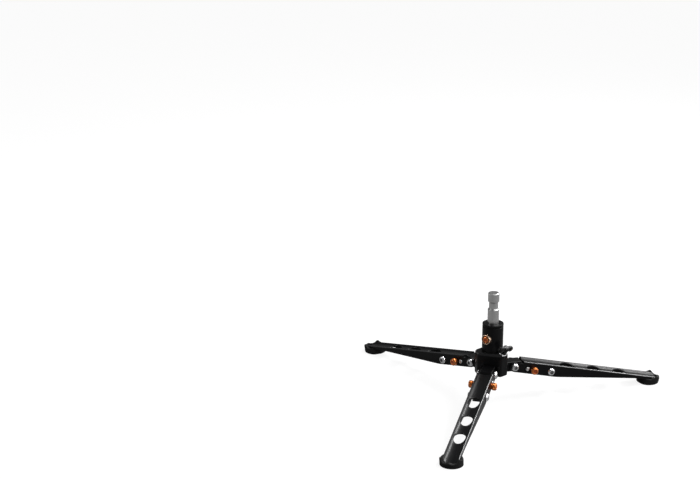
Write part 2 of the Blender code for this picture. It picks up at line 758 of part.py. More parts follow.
def hub_levels():
    """Heights of the hub with how far its sides are drawn in there: a bottom chamfer, a round shoulder."""
    levels = [(HUB_BOTTOM, HUB_CHAMFER * 0.7), (HUB_BOTTOM + HUB_CHAMFER * 0.4, HUB_CHAMFER * 0.2)]
    levels.append((HUB_BOTTOM + HUB_CHAMFER, 0.0))
    for turn in (0, 30, 60, 90):
        height = HUB_TOP - HUB_SHOULDER_HEIGHT * (1 - math.sin(math.radians(turn)))
        levels.append((height, HUB_SHOULDER_INSET * (1 - math.cos(math.radians(turn)))))
    return levels


def hub_block_mesh():
    """The hub's outline lofted through its levels."""
    shape = bmesh.new()
    rings = []
    for height, inset in hub_levels():
        rings.append([shape.verts.new((x, y, height)) for x, y in hub_outline(inset)])
    for low, high in zip(rings, rings[1:]):
        for i in range(len(low)):
            after = (i + 1) % len(low)
            shape.faces.new((low[i], low[after], high[after], high[i]))
    shape.faces.new(rings[0])
    shape.faces.new(rings[-1])
    bmesh.ops.recalc_face_normals(shape, faces=shape.faces)
    made = bpy.data.meshes.new("hub_block")
    shape.to_mesh(made)
    shape.free()
    return made


def arm_mesh():
    """One arm: a flat bar from the hub's middle to a round end about the leg's pivot."""
    up = PIVOT_HEIGHT + ARM_ABOVE_PIVOT
    down = PIVOT_HEIGHT - ARM_BELOW_PIVOT
    low_turn = -math.asin(ARM_BELOW_PIVOT / ARM_END_RADIUS)
    high_turn = math.asin(ARM_ABOVE_PIVOT / ARM_END_RADIUS)
    root = HUB_FACE - HUB_EDGE_RADIUS
    outline = [(root, down)]
    for k in range(6):
        turn = low_turn + (high_turn - low_turn) * k / 5
        x = PIVOT_RADIUS + ARM_END_RADIUS * math.cos(turn)
        outline.append((x, PIVOT_HEIGHT + ARM_END_RADIUS * math.sin(turn)))
    outline.append((root, up))
    return prism(outline, -ARM_HALF_WIDTH, ARM_HALF_WIDTH, "side")


def add_hub(parts, cutters, centre, material):
    hub = add_piece("hub_body", hub_block_mesh(), material, parts, centre)
    for leg, azimuth in LEG_AZIMUTHS.items():
        add_cutter(f"arm_{leg}", arm_mesh(), cutters, centre, hub, "UNION", turned_to(azimuth))
    boss = cylinder(CLAMP_BOSS_RADIUS, -CLAMP_BOSS_DEPTH, 0.0, 20)
    add_cutter("clamp_boss", boss, cutters, centre, hub, "UNION", clamp_frame())
    bore = revolve([
        (0.0, COLUMN_TOP),
        (COLUMN_RADIUS + GAP, COLUMN_TOP),
        (COLUMN_RADIUS + GAP, COLUMN_SEAT),
        (COLUMN_JOURNAL + GAP, COLUMN_SEAT),
        (COLUMN_JOURNAL + GAP, CAP_CEILING),
        (CAP_RADIUS + GAP, CAP_CEILING),
        (CAP_RADIUS + GAP, HUB_BOTTOM - THROUGH),
        (0.0, HUB_BOTTOM - THROUGH),
    ], 24)
    add_cutter("column_bore", bore, cutters, centre, hub)
    for leg, azimuth in LEG_AZIMUTHS.items():
        hole = cylinder(SLEEVE_RADIUS + GAP, -THROUGH, THROUGH, 12)
        place = Matrix.Translation((PIVOT_RADIUS, 0.0, PIVOT_HEIGHT)) @ ACROSS
        add_cutter(f"arm_hole_{leg}", hole, cutters, centre, hub, matrix=turned_to(azimuth) @ place)
    seat = cylinder(CLAMP_BOSS_RADIUS + GAP, 0.0, CLAMP_BOSS_DEPTH, 20)
    add_cutter("clamp_seat", seat, cutters, centre, hub, matrix=clamp_frame())
    stud_hole = cylinder(CLAMP_STUD_RADIUS + GAP, stud_reach(0.0) - CLAMP_STUD_RADIUS, CLAMP_BOSS_DEPTH, 12)
    add_cutter("stud_hole", stud_hole, cutters, centre, hub, matrix=clamp_frame())
    return hub


# Column, collar, spigot and the cap that keeps the column in the hub
def column_profile():
    """Down the column's outer side and journal, and back up inside from its tapped hole to its socket."""
    seat = COLUMN_TOP - COLLAR_HEIGHT - COLLAR_NECK_HEIGHT - GAP
    step = COLUMN_SEAT + GAP
    counterbore = COLLAR_STEM_RADIUS + GAP
    counterbore_end = seat - COLLAR_STEM_DEPTH - GAP
    socket = SPIGOT_RADIUS + GAP
    tapped = CAP_SCREW_RADIUS + GAP
    return [
        (0.0, SOCKET_FLOOR),
        (socket, SOCKET_FLOOR),
        (socket, counterbore_end),
        (counterbore, counterbore_end),
        (counterbore, seat),
        (COLUMN_RADIUS - COLUMN_CHAMFER, seat),
        (COLUMN_RADIUS, seat - COLUMN_CHAMFER),
        (COLUMN_RADIUS, step),
        (COLUMN_JOURNAL, step),
        (COLUMN_JOURNAL, CAP_CEILING),
        (tapped, CAP_CEILING),
        (tapped, CAP_SCREW_END),
        (0.0, CAP_SCREW_END),
    ]


def collar_mesh():
    """The ring at the column's mouth: a rim, a narrow neck under it, and a stem let into the column."""
    top = COLUMN_TOP
    neck = top - COLLAR_HEIGHT
    seat = neck - COLLAR_NECK_HEIGHT
    bore = SPIGOT_RADIUS + GAP
    return revolve([
        (bore, top),
        (COLUMN_RADIUS - COLUMN_CHAMFER, top),
        (COLUMN_RADIUS, top - COLUMN_CHAMFER),
        (COLUMN_RADIUS, neck),
        (COLLAR_NECK_RADIUS, neck),
        (COLLAR_NECK_RADIUS, seat),
        (COLLAR_STEM_RADIUS, seat),
        (COLLAR_STEM_RADIUS, seat - COLLAR_STEM_DEPTH),
        (bore, seat - COLLAR_STEM_DEPTH),
    ], 28, True)


def add_column(parts, cutters, turning, material):
    column = add_piece("column", revolve(column_profile(), 28), material, parts, turning)
    pin_way = cylinder(LOCK_PIN_RADIUS + GAP, SPIGOT_RADIUS / 2, BEZEL_POCKET + GAP, 16)
    pocket = cylinder(bezel_cup_radius() + GAP, BEZEL_POCKET, bezel_top())
    for name, mesh in (("pin_way", pin_way), ("bezel_pocket", pocket)):
        add_cutter(name, mesh, cutters, turning, column, matrix=button_frame())
    return column


def spigot_mesh():
    bottom = SOCKET_FLOOR + GAP
    tip = COLUMN_TOP + SPIGOT_HEIGHT
    neck = tip - SPIGOT_NECK_BELOW_TIP
    neck_end = neck - SPIGOT_NECK_LENGTH
    body = revolve([
        (0.0, tip),
        (SPIGOT_RADIUS - SPIGOT_CHAMFER, tip),
        (SPIGOT_RADIUS, tip - SPIGOT_CHAMFER),
        (SPIGOT_RADIUS, neck),
        (SPIGOT_NECK_RADIUS, neck - SPIGOT_NECK_SLOPE),
        (SPIGOT_NECK_RADIUS, neck_end + SPIGOT_NECK_SLOPE),
        (SPIGOT_RADIUS, neck_end),
        (SPIGOT_RADIUS, bottom + SPIGOT_CHAMFER),
        (SPIGOT_RADIUS - SPIGOT_CHAMFER, bottom),
        (0.0, bottom),
    ], 20)
    pin_hole = cylinder(LOCK_PIN_RADIUS + GAP, lock_pin_hole_end(), SPIGOT_RADIUS * 2, 16)
    return smooth(combined(body, [moved(pin_hole, button_frame())], "DIFFERENCE"))


def cap_mesh():
    """A round plate under the hub, wider than the journal, with a sunk seat for its screw."""
    top = CAP_CEILING - GAP
    bottom = top - CAP_THICKNESS
    sunk = bottom + CAP_HEAD_HEIGHT + GAP
    return revolve([
        (CAP_SCREW_RADIUS + GAP, top),
        (CAP_RADIUS, top),
        (CAP_RADIUS, bottom + COLUMN_CHAMFER),
        (CAP_RADIUS - COLUMN_CHAMFER, bottom),
        (CAP_HEAD_RADIUS + GAP, bottom),
        (CAP_HEAD_RADIUS + GAP, sunk),
        (CAP_SCREW_RADIUS + GAP, sunk),
    ], 18, True)


def cap_screw_mesh():
    seat = CAP_CEILING - GAP - CAP_THICKNESS + CAP_HEAD_HEIGHT
    top = CAP_SCREW_END - GAP
    bottom = seat - CAP_HEAD_HEIGHT
    body = revolve([
        (0.0, top),
        (CAP_SCREW_RADIUS, top),
        (CAP_SCREW_RADIUS, seat),
        (CAP_HEAD_RADIUS, seat),
        (CAP_HEAD_RADIUS, bottom + COLUMN_CHAMFER),
        (CAP_HEAD_RADIUS - COLUMN_CHAMFER, bottom),
        (0.0, bottom),
    ], 12)
    socket = hexagon_prism(CAP_HEX_SOCKET, bottom - CAP_HEAD_HEIGHT, bottom + CAP_HEAD_HEIGHT * 0.6)
    return smooth(combined(body, [socket], "DIFFERENCE"))


# Button, bezel, lock pin and their springs, along the button's own axis
def bezel_bore():
    return BUTTON_FLANGE_RADIUS + GAP


def bezel_cup_radius():
    return bezel_bore() + BEZEL_WALL


def bezel_top():
    return COLUMN_RADIUS + BEZEL_PROUD


def spring_shelf():
    """Where the button's spring stands in the bezel's cup."""
    return BEZEL_POCKET + GAP + BEZEL_WEB


def saddled(mesh, height, radius):
    """The mesh with its points at one height laid on a cylinder about the column's axis instead."""
    for vertex in mesh.vertices:
        if abs(vertex.co.z - height) < GAP / 100:
            vertex.co.z = math.sqrt(radius ** 2 - vertex.co.y ** 2)
    return mesh


def bezel_mesh():
    """A bright ring saddled on the column, with a lip over the button's flange and a cup for its spring."""
    top = bezel_top()
    mouth = BUTTON_RADIUS + GAP
    floor = BEZEL_POCKET + GAP
    cup = bezel_cup_radius()
    way = BUTTON_STEM_RADIUS + GAP
    ring = revolve([
        (mouth, top - COLUMN_CHAMFER),
        (mouth + COLUMN_CHAMFER, top),
        (BEZEL_RADIUS - 2 * COLUMN_CHAMFER, top),
        (BEZEL_RADIUS, top - 2 * COLUMN_CHAMFER),
        (BEZEL_RADIUS, COLUMN_RADIUS),
        (cup, COLUMN_RADIUS),
        (cup, floor),
        (way, floor),
        (way, spring_shelf()),
        (bezel_bore(), spring_shelf()),
        (bezel_bore(), top - BEZEL_LIP),
        (mouth, top - BEZEL_LIP),
    ], 20, True)
    return saddled(ring, COLUMN_RADIUS, COLUMN_RADIUS + GAP)


def button_under():
    return bezel_top() - BEZEL_LIP - GAP - BUTTON_FLANGE_HEIGHT


def lock_pin_end():
    return SPIGOT_RADIUS + LOCK_PIN_REACH


def lock_pin_hole_end():
    return lock_pin_end() - LOCK_PIN_LENGTH - PIN_SPRING_SPACE


def button_mesh():
    face = bezel_top() + BUTTON_PROUD
    under = button_under()
    stem_end = lock_pin_end() + GAP
    return revolve([
        (0.0, face),
        (BUTTON_RADIUS * 0.50, face - BUTTON_DOME * 0.08),
        (BUTTON_RADIUS * 0.82, face - BUTTON_DOME * 0.38),
        (BUTTON_RADIUS, face - BUTTON_DOME),
        (BUTTON_RADIUS, under + BUTTON_FLANGE_HEIGHT),
        (BUTTON_FLANGE_RADIUS, under + BUTTON_FLANGE_HEIGHT),
        (BUTTON_FLANGE_RADIUS, under),
        (BUTTON_STEM_RADIUS, under),
        (BUTTON_STEM_RADIUS, stem_end),
        (0.0, stem_end),
    ], 14)


def button_spring_mesh():
    low = spring_shelf() + GAP
    high = button_under() - GAP
    return coil(BUTTON_SPRING_RADIUS, BUTTON_SPRING_WIRE, low, high, BUTTON_SPRING_CURLS, 7)


def lock_pin_mesh():
    end = lock_pin_end()
    return revolve([
        (0.0, end),
        (LOCK_PIN_RADIUS - LOCK_PIN_ROUND, end),
        (LOCK_PIN_RADIUS, end - LOCK_PIN_ROUND),
        (LOCK_PIN_RADIUS, end - LOCK_PIN_LENGTH),
        (0.0, end - LOCK_PIN_LENGTH),
    ], 12)


def lock_pin_spring_mesh():
    low = lock_pin_hole_end() + GAP
    high = lock_pin_end() - LOCK_PIN_LENGTH - GAP
    return coil(PIN_SPRING_RADIUS, PIN_SPRING_WIRE, low, high, PIN_SPRING_CURLS, 6)


# Wing knob, its stud and its ferrule, along the clamp's own axis
def stud_reach(radius):
    """How far down its axis the stud may have this radius before it meets the column's journal."""
    tilt = math.radians(CLAMP_ELEVATION)
    room = CLAMP_SEAT_RADIUS - COLUMN_JOURNAL - GAP - radius * math.sin(tilt)
    return -room / math.cos(tilt)


def ferrule_mesh():
    low = GAP
    high = low + FERRULE_HEIGHT
    inner = CLAMP_STUD_RADIUS + GAP
    return revolve([
        (inner, high),
        (FERRULE_RADIUS * 0.82, high),
        (FERRULE_RADIUS, high - FERRULE_CHAMFER),
        (FERRULE_RADIUS, low + FERRULE_CHAMFER),
        (FERRULE_RADIUS - FERRULE_CHAMFER, low),
        (inner, low),
    ], 16, True)


def wing_bottom():
    return FERRULE_HEIGHT + 2 * GAP


def stud_mesh():
    """The threaded stud: moulded into the handle, running down through the hub to a cone point."""
    top = wing_bottom() + STUD_IN_HANDLE
    return revolve([
        (0.0, top),
        (CLAMP_STUD_RADIUS, top),
        (CLAMP_STUD_RADIUS, stud_reach(CLAMP_STUD_RADIUS)),
        (CLAMP_TIP_RADIUS, stud_reach(CLAMP_TIP_RADIUS)),
        (0.0, stud_reach(CLAMP_TIP_RADIUS)),
    ], 12)


def wing_handle_mesh():
    """A waisted boss with a rounded wing on each side, and a socket for the stud from below."""
    low = wing_bottom()
    high = low + WING_HUB_HEIGHT
    hub = revolve([
        (0.0, high),
        (WING_HUB_RADIUS * 0.55, high),
        (WING_HUB_RADIUS * 0.90, high - WING_DEPTH * 0.16),
        (WING_HUB_RADIUS, high - WING_DEPTH * 0.60),
        (WING_HUB_RADIUS * 0.88, low + WING_DEPTH * 0.18),
        (WING_HUB_RADIUS * 0.96, low),
        (0.0, low),
    ], 16)
    wing_high = high - WING_DEPTH * 0.05
    wing_low = wing_high - WING_DEPTH
    waist = WING_HUB_RADIUS
    outline = rounded([
        (-WING_REACH, wing_low, WING_DEPTH * 0.42),
        (-waist, wing_low - WING_DEPTH * 0.21, WING_DEPTH * 0.26),
        (waist, wing_low - WING_DEPTH * 0.21, WING_DEPTH * 0.26),
        (WING_REACH, wing_low, WING_DEPTH * 0.42),
        (WING_REACH, wing_high, WING_DEPTH * 0.42),
        (waist * 0.7, wing_high - WING_DEPTH * 0.13, WING_DEPTH * 0.53),
        (-waist * 0.7, wing_high - WING_DEPTH * 0.13, WING_DEPTH * 0.53),
        (-WING_REACH, wing_high, WING_DEPTH * 0.42),
    ])
    half = WING_THICKNESS / 2
    wings = bevelled(prism(outline, -half, half, "side"), WING_BEVEL, 1, 60.0)
    stud_hole = cylinder(CLAMP_STUD_RADIUS + GAP, low - THROUGH, low + STUD_IN_HANDLE + GAP, 12)
    return smooth(combined(combined(hub, [wings], "UNION"), [stud_hole], "DIFFERENCE"))


# Assembly
def add_leg(leg, azimuth, meshes, paint, parts):
    """One leg with all that crosses it, in the frame of its pivot."""
    pivot = add_empty(f"leg_pivot_{leg}", leg_frame(azimuth), parts)
    slide = add_empty(f"slider_path_{leg}", pivot.matrix_world.copy(), parts)
    slide.parent = pivot
    slide.matrix_local = Matrix.Translation((KNOB_ALONG, 0.0, 0.0))
    at_knob = Matrix.Translation((-KNOB_ALONG, 0.0, 0.0))
    flip = Matrix.Rotation(math.pi, 4, "X") if leg == "right" else Matrix.Identity(4)
    anchor = Matrix.Translation((ANCHOR_ALONG, 0.0, 0.0))
    add_piece(f"leg_{leg}", meshes["channel"], paint["black"], parts, pivot)
    for name, place in (("pivot", Matrix.Identity(4)), ("anchor", anchor)):
        add_piece(f"{name}_bolt_{leg}", meshes["bolt"], paint["chrome"], parts, pivot, place @ flip @ ACROSS)
        add_piece(f"{name}_nut_{leg}", meshes["nut"], paint["chrome"], parts, pivot, place @ flip @ ACROSS)
    pin_place = Matrix.Translation((PIN_ALONG, 0.0, 0.0)) @ ACROSS
    add_piece(f"guide_pin_{leg}", meshes["pin"], paint["chrome"], parts, pivot, pin_place)
    washer_offset = LEG_INNER - GAP - WASHER_THICKNESS / 2
    for side, sign in (("a", 1), ("b", -1)):
        washer_place = Matrix.Translation((0.0, sign * washer_offset, 0.0)) @ ACROSS
        add_piece(f"pivot_washer_{leg}_{side}", meshes["washer"], paint["nylon"], parts, pivot, washer_place)
        knob_place = (Matrix.Identity(4) if sign > 0 else Matrix.Rotation(math.pi, 4, "X")) @ ACROSS
        add_piece(f"pull_knob_{leg}_{side}", meshes["knob"], paint["orange"], parts, slide, knob_place)
    add_piece(f"lock_slider_{leg}", meshes["slider"], paint["steel"], parts, slide, at_knob)
    add_piece(f"slider_spring_{leg}", meshes["spring"], paint["steel"], parts, pivot)
    add_piece(f"foot_{leg}", meshes["foot"], paint["rubber"], parts, pivot)
    add_piece(f"foot_screw_{leg}", meshes["foot_screw"], paint["steel"], parts, pivot)


def build():
    empty_scene()
    parts = new_collection("low light stand")
    cutters = new_collection("cutters")
    paint = {
        "black": new_material("black_paint", (0.018, 0.018, 0.020), 0.38, 0.0),
        "rubber": new_material("black_rubber", (0.022, 0.022, 0.022), 0.75, 0.0),
        "chrome": new_material("chrome", (0.78, 0.78, 0.79), 0.15, 1.0),
        "steel": new_material("steel", (0.55, 0.55, 0.56), 0.30, 1.0),
        "orange": new_material("orange_anodised", (0.80, 0.27, 0.06), 0.28, 0.9),
        "bezel": new_material("polished_copper", (0.92, 0.70, 0.52), 0.18, 1.0),
        "nylon": new_material("black_nylon", (0.03, 0.03, 0.03), 0.5, 0.0),
    }
    centre = add_empty("stand_centre", STAND_FRAME, parts)
    turning = add_empty("column_axis", STAND_FRAME, parts)
    add_hub(parts, cutters, centre, paint["black"])
    add_column(parts, cutters, turning, paint["black"])
    add_piece("column_collar", collar_mesh(), paint["black"], parts, turning)
    add_piece("spigot", spigot_mesh(), paint["steel"], parts, turning)
    add_piece("column_cap", cap_mesh(), paint["steel"], parts, turning)
    add_piece("cap_screw", cap_screw_mesh(), paint["steel"], parts, turning)

    push = add_empty("button_axis", STAND_FRAME @ button_frame(), parts)
    add_piece("button_bezel", bezel_mesh(), paint["bezel"], parts, push)
    add_piece("release_button", button_mesh(), paint["orange"], parts, push)
    add_piece("button_spring", button_spring_mesh(), paint["steel"], parts, push)
    add_piece("lock_pin", lock_pin_mesh(), paint["steel"], parts, push)
    add_piece("lock_pin_spring", lock_pin_spring_mesh(), paint["steel"], parts, push)

    clamp = add_empty("clamp_axis", STAND_FRAME @ clamp_frame(), parts)
    wing_turn = Matrix.Rotation(math.radians(WING_TURN), 4, "Z")
    add_piece("clamp_ferrule", ferrule_mesh(), paint["chrome"], parts, clamp)
    add_piece("clamp_stud", stud_mesh(), paint["steel"], parts, clamp)
    add_piece("wing_handle", wing_handle_mesh(), paint["black"], parts, clamp, wing_turn)

    meshes = {
        "channel": leg_channel_mesh(),
        "bolt": bolt_mesh(),
        "nut": sleeve_nut_mesh(),
        "pin": pin_mesh(),
        "washer": washer_mesh(),
        "knob": knob_mesh(),
        "slider": slider_mesh(),
        "spring": slider_spring_mesh(),
        "foot": foot_mesh(),
        "foot_screw": foot_screw_mesh(),
    }
    for leg, azimuth in LEG_AZIMUTHS.items():
        add_leg(leg, azimuth, meshes, paint, parts)


build()
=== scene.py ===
import math

import bmesh
import bpy
import numpy as np
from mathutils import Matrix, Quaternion, Vector


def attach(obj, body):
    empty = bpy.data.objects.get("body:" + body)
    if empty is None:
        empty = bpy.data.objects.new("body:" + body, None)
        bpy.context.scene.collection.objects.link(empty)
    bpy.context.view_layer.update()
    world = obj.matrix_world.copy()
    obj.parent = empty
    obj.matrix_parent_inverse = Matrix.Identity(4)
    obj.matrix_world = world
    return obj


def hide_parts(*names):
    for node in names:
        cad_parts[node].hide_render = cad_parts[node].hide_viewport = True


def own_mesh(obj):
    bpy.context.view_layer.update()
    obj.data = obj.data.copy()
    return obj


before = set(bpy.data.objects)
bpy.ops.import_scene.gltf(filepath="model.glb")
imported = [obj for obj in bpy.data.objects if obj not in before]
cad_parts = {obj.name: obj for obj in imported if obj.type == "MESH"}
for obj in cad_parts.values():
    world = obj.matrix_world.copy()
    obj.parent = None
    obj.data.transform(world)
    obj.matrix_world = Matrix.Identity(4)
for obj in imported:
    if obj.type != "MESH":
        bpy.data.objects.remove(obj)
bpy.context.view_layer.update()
bpy.context.scene.view_settings.view_transform = "Standard"


# The hub: an aluminium casting with a broad face behind each leg, rounded over at the top, powder
# coated black. Its underside is bored for the cap, and its top has a shallow round seat for the column.
AXIS_Y = 0.060069
PIVOT_HEIGHT = 0.044798
LEGS = {"front": -90.0, "right": 30.0, "left": 150.0}
HUB_TOP = PIVOT_HEIGHT + 0.0257
HUB_BOTTOM = PIVOT_HEIGHT - 0.0083
HUB_FACE = 0.0178
HUB_CORNER = 0.0238
HUB_CORNER_RADIUS = 0.0034
HUB_LOWER_EDGE = 0.0016
SHOULDER_INSET = 0.0022
SHOULDER_HEIGHT = 0.0045
CAP_BORE = 0.0148
CAP_BORE_DEPTH = 0.0041
SEAT_RADIUS = 0.0153
SEAT_DEPTH = 0.0004


class Flow:
    """A value on its way through a material's nodes: sums and products of flows add Math nodes."""

    def __init__(self, tree, socket=None):
        self.tree = tree
        self.socket = socket

    def node(self, kind, settings=None, sockets=None, out=0):
        """One node of a kind: its settings first, then the values or flows of its sockets."""
        made = self.tree.nodes.new(kind)
        for name, value in (settings or {}).items():
            if name == "stops":
                made.color_ramp.elements[0].position, made.color_ramp.elements[0].color = value[0]
                made.color_ramp.elements[1].position, made.color_ramp.elements[1].color = value[1]
            else:
                setattr(made, name, value)
        usable = {socket.name: socket for socket in reversed(made.inputs) if socket.enabled}
        for name, value in (sockets or {}).items():
            socket = made.inputs[name] if isinstance(name, int) else usable[name]
            if isinstance(value, Flow):
                self.tree.links.new(value.socket, socket)
            else:
                socket.default_value = value
        shown = {socket.name: socket for socket in reversed(made.outputs) if socket.enabled}
        return Flow(self.tree, made.outputs[out] if isinstance(out, int) else shown[out])

    def math(self, operation, first, second):
        return self.node("ShaderNodeMath", {"operation": operation}, {0: first, 1: second})

    def __add__(self, other):
        return self.math("ADD", self, other)

    def __sub__(self, other):
        return self.math("SUBTRACT", self, other)

    def __mul__(self, other):
        return self.math("MULTIPLY", self, other)

    def __rsub__(self, other):
        return self.math("SUBTRACT", other, self)

    __radd__ = __add__
    __rmul__ = __mul__


def finish_on(name, metallic=0.0, specular=0.5, coat=0.0):
    """A new material with its plain numbers set, the flow that starts its nodes, and its sockets."""
    made = bpy.data.materials.new(name)
    made.use_nodes = True
    shader = made.node_tree.nodes["Principled BSDF"]
    shader.inputs["Metallic"].default_value = metallic
    shader.inputs["Specular IOR Level"].default_value = specular
    shader.inputs["Coat Weight"].default_value = coat
    return made, Flow(made.node_tree), shader.inputs


def noise(flow, scale, detail=2.0, roughness=0.5, stretch=(1.0, 1.0, 1.0)):
    """Noise from 0 to 1 in the object's own metres, at a number of patches to the metre."""
    place = flow.node("ShaderNodeTexCoord", out="Object")
    place = flow.node("ShaderNodeMapping", None, {"Vector": place, "Scale": stretch})
    sockets = {"Vector": place, "Scale": scale, "Detail": detail, "Roughness": roughness}
    return flow.node("ShaderNodeTexNoise", None, sockets)


def between(flow, share, low, high):
    """A colour between two, by a share from 0 to 1."""
    stops = ((0.0, (*low, 1.0)), (1.0, (*high, 1.0)))
    return flow.node("ShaderNodeValToRGB", {"stops": stops}, {"Fac": share})


def embossed(flow, height, distance, strength=1.0):
    """The surface's slope from a height between 0 and 1 over a real distance."""
    sockets = {"Height": height, "Distance": distance, "Strength": strength}
    return flow.node("ShaderNodeBump", None, sockets)


def connect(flow, socket, value):
    flow.tree.links.new(value.socket, socket)


def dress(flow, ends, colour, roughness, slope):
    """Connects what every finish here has: its colour, roughness and slope."""
    connect(flow, ends["Base Color"], colour)
    connect(flow, ends["Roughness"], roughness)
    connect(flow, ends["Normal"], slope)


def marked(flow, name, clean, changed):
    """A colour that turns to another where the piece's own attribute says so, and that attribute."""
    share = flow.node("ShaderNodeAttribute", {"attribute_name": name}, out="Fac")
    colours = {"Factor": share, "A": clean, "B": (*changed, 1.0)}
    return flow.node("ShaderNodeMix", {"data_type": "RGBA"}, colours, "Result"), share


powder_coat, flow, ends = finish_on("powder_coat", specular=0.14)
grain = noise(flow, 2600.0, 3.0, 0.6)
cloud = noise(flow, 38.0, 4.0, 0.6)
scuff = noise(flow, 240.0, 6.0, 0.75, (1.0, 1.0, 2.4))
paint = between(flow, cloud, (0.0028, 0.0028, 0.0031), (0.0062, 0.0062, 0.0067))
# Painted highlight, partly standing for wear: edges and rims marked by the attribute get a lighter
# colour and a shinier coat.
paint, rubbed = marked(flow, "rubbed", paint, (0.035, 0.035, 0.037))
slope = embossed(flow, grain + scuff * 0.3, 0.00004, 0.55)
dress(flow, ends, paint, 0.20 + cloud * 0.08 + scuff * 0.12, slope)
connect(flow, ends["Coat Weight"], rubbed * (0.5 + scuff))
ends["Coat Roughness"].default_value = 0.14


def six_volumes(corners):
    """Six times the volume between the origin and some faces, each a fan from its first corner."""
    fans = np.cross(corners[:, 1:-1], corners[:, 2:])
    return (fans * corners[:, :1]).sum()


def skin(name, rings, looped=False):
    """A closed surface over rings of equal count, capped at both ends or joined back on itself."""
    rings = np.asarray(rings, float)
    count, around = rings.shape[:2]
    points = rings.reshape(-1, 3)
    row = np.arange(count if looped else count - 1)[:, None] * around
    step = np.arange(around)[None]
    after = (step + 1) % around
    above = (row + around) % (count * around)
    faces = [np.stack([row + step, row + after, above + after, above + step], -1).reshape(-1, 4)]
    if not looped:
        faces += [step[:, ::-1], (count - 1) * around + step]
    if sum(six_volumes(points[face] - points.mean(0)) for face in faces) < 0:
        faces = [face[:, ::-1] for face in faces]
    mesh = bpy.data.meshes.new(name)
    mesh.from_pydata(points.tolist(), [], [corners for face in faces for corners in face.tolist()])
    return mesh


def marked_at(name, mesh, where):
    """The mesh with an attribute of this name, from 0 to 1 at its points."""
    shares = np.asarray(where, float).ravel()
    mesh.attributes.new(name, "FLOAT", "POINT").data.foreach_set("value", shares)
    return mesh


def turned_by(axis, degrees):
    """A 4 by 4 turn about one of the axes."""
    turn = math.radians(degrees)
    first, second = {"X": (1, 2), "Y": (2, 0), "Z": (0, 1)}[axis]
    made = np.eye(4)
    made[first, first] = made[second, second] = math.cos(turn)
    made[first, second] = -math.sin(turn)
    made[second, first] = math.sin(turn)
    return made


def shifted(x=0.0, y=0.0, z=0.0):
    """A 4 by 4 move."""
    made = np.eye(4)
    made[:3, 3] = (x, y, z)
    return made


def placed(points, matrix):
    """Points of any grid, put in place by a matrix."""
    return np.asarray(points) @ matrix[:3, :3].T + matrix[:3, 3]


def rounded_corner(before, here, after, radius, steps):
    """Points of the arc of a radius that is tangent to both sides of a corner."""
    back, ahead = before - here, after - here
    back, ahead = back / np.linalg.norm(back), ahead / np.linalg.norm(ahead)
    half = math.acos(np.clip(back @ ahead, -1, 1)) / 2
    inward = (back + ahead) / np.linalg.norm(back + ahead)
    middle = here + inward * radius / math.sin(half)
    start = here + back * radius / math.tan(half) - middle
    end = here + ahead * radius / math.tan(half) - middle
    first = math.atan2(start[1], start[0])
    sweep = (math.atan2(end[1], end[0]) - first + math.pi) % (2 * math.pi) - math.pi
    turns = first + sweep * np.linspace(0, 1, steps)
    return middle + radius * np.stack([np.cos(turns), np.sin(turns)], -1)


def softened(corners, closed=True, steps=6):
    """A line of (x, y, radius) corners, each drawn as an arc of its radius, or sharp where it is 0."""
    points = [np.array(corner[:2]) for corner in corners]
    last = len(corners) - 1
    path = []
    for i, corner in enumerate(corners):
        if corner[2] == 0 or (not closed and i in (0, last)):
            path.append(points[i][None])
        else:
            after = points[(i + 1) % len(points)]
            path.append(rounded_corner(points[i - 1], points[i], after, corner[2], steps))
    return np.concatenate(path)


def drawn_in(outline, distance):
    """A closed outline moved inward along its own normals, which bisect its neighbouring sides."""
    along = np.roll(outline, -1, 0) - np.roll(outline, 1, 0)
    normal = np.stack([along[:, 1], -along[:, 0]], -1)
    normal /= np.linalg.norm(normal, axis=1)[:, None]
    x, y = outline.T
    if (x * np.roll(y, -1) - np.roll(x, -1) * y).sum() < 0:
        normal = -normal
    return outline - normal * distance


def put_in_scene(name, data):
    """A new object for a mesh, a lamp or a camera."""
    item = bpy.data.objects.new(name, data)
    bpy.context.scene.collection.objects.link(item)
    return item


def round_edges(item, radius):
    """A live bevel of three steps on the object's sharp edges."""
    edge = item.modifiers.new("Edges", "BEVEL")
    edge.width = radius
    edge.segments = 3
    edge.limit_method = "ANGLE"
    edge.angle_limit = math.radians(40)
    return edge


def add_piece(name, mesh, material, body, nodes=(), bevel=0.0):
    """Shows a mesh as a piece, with its finish, body and slot, and a bevel where one is given."""
    item = put_in_scene(name, mesh)
    mesh.materials.clear()
    mesh.materials.append(material)
    mesh.shade_smooth()
    mesh.set_sharp_from_angle(angle=math.radians(34))
    if bevel:
        round_edges(item, bevel)
    weighted = item.modifiers.new("Normals", "WEIGHTED_NORMAL")
    weighted.keep_sharp = True
    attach(item, body)
    if nodes:
        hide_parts(*nodes)
    return item


def hub_plan():
    """The hub's plan: six sides at their distances from the axis, met in rounded corners."""
    directions = np.radians(np.arange(-90.0, 270.0, 60.0))
    distances = np.array([HUB_FACE, HUB_CORNER] * 3)
    later = np.roll(distances, -1)
    along = (later - distances * math.cos(math.radians(60))) / math.sin(math.radians(60))
    x = distances * np.cos(directions) - along * np.sin(directions)
    y = distances * np.sin(directions) + along * np.cos(directions)
    return softened([(px, py, HUB_CORNER_RADIUS) for px, py in zip(x, y)], steps=16)


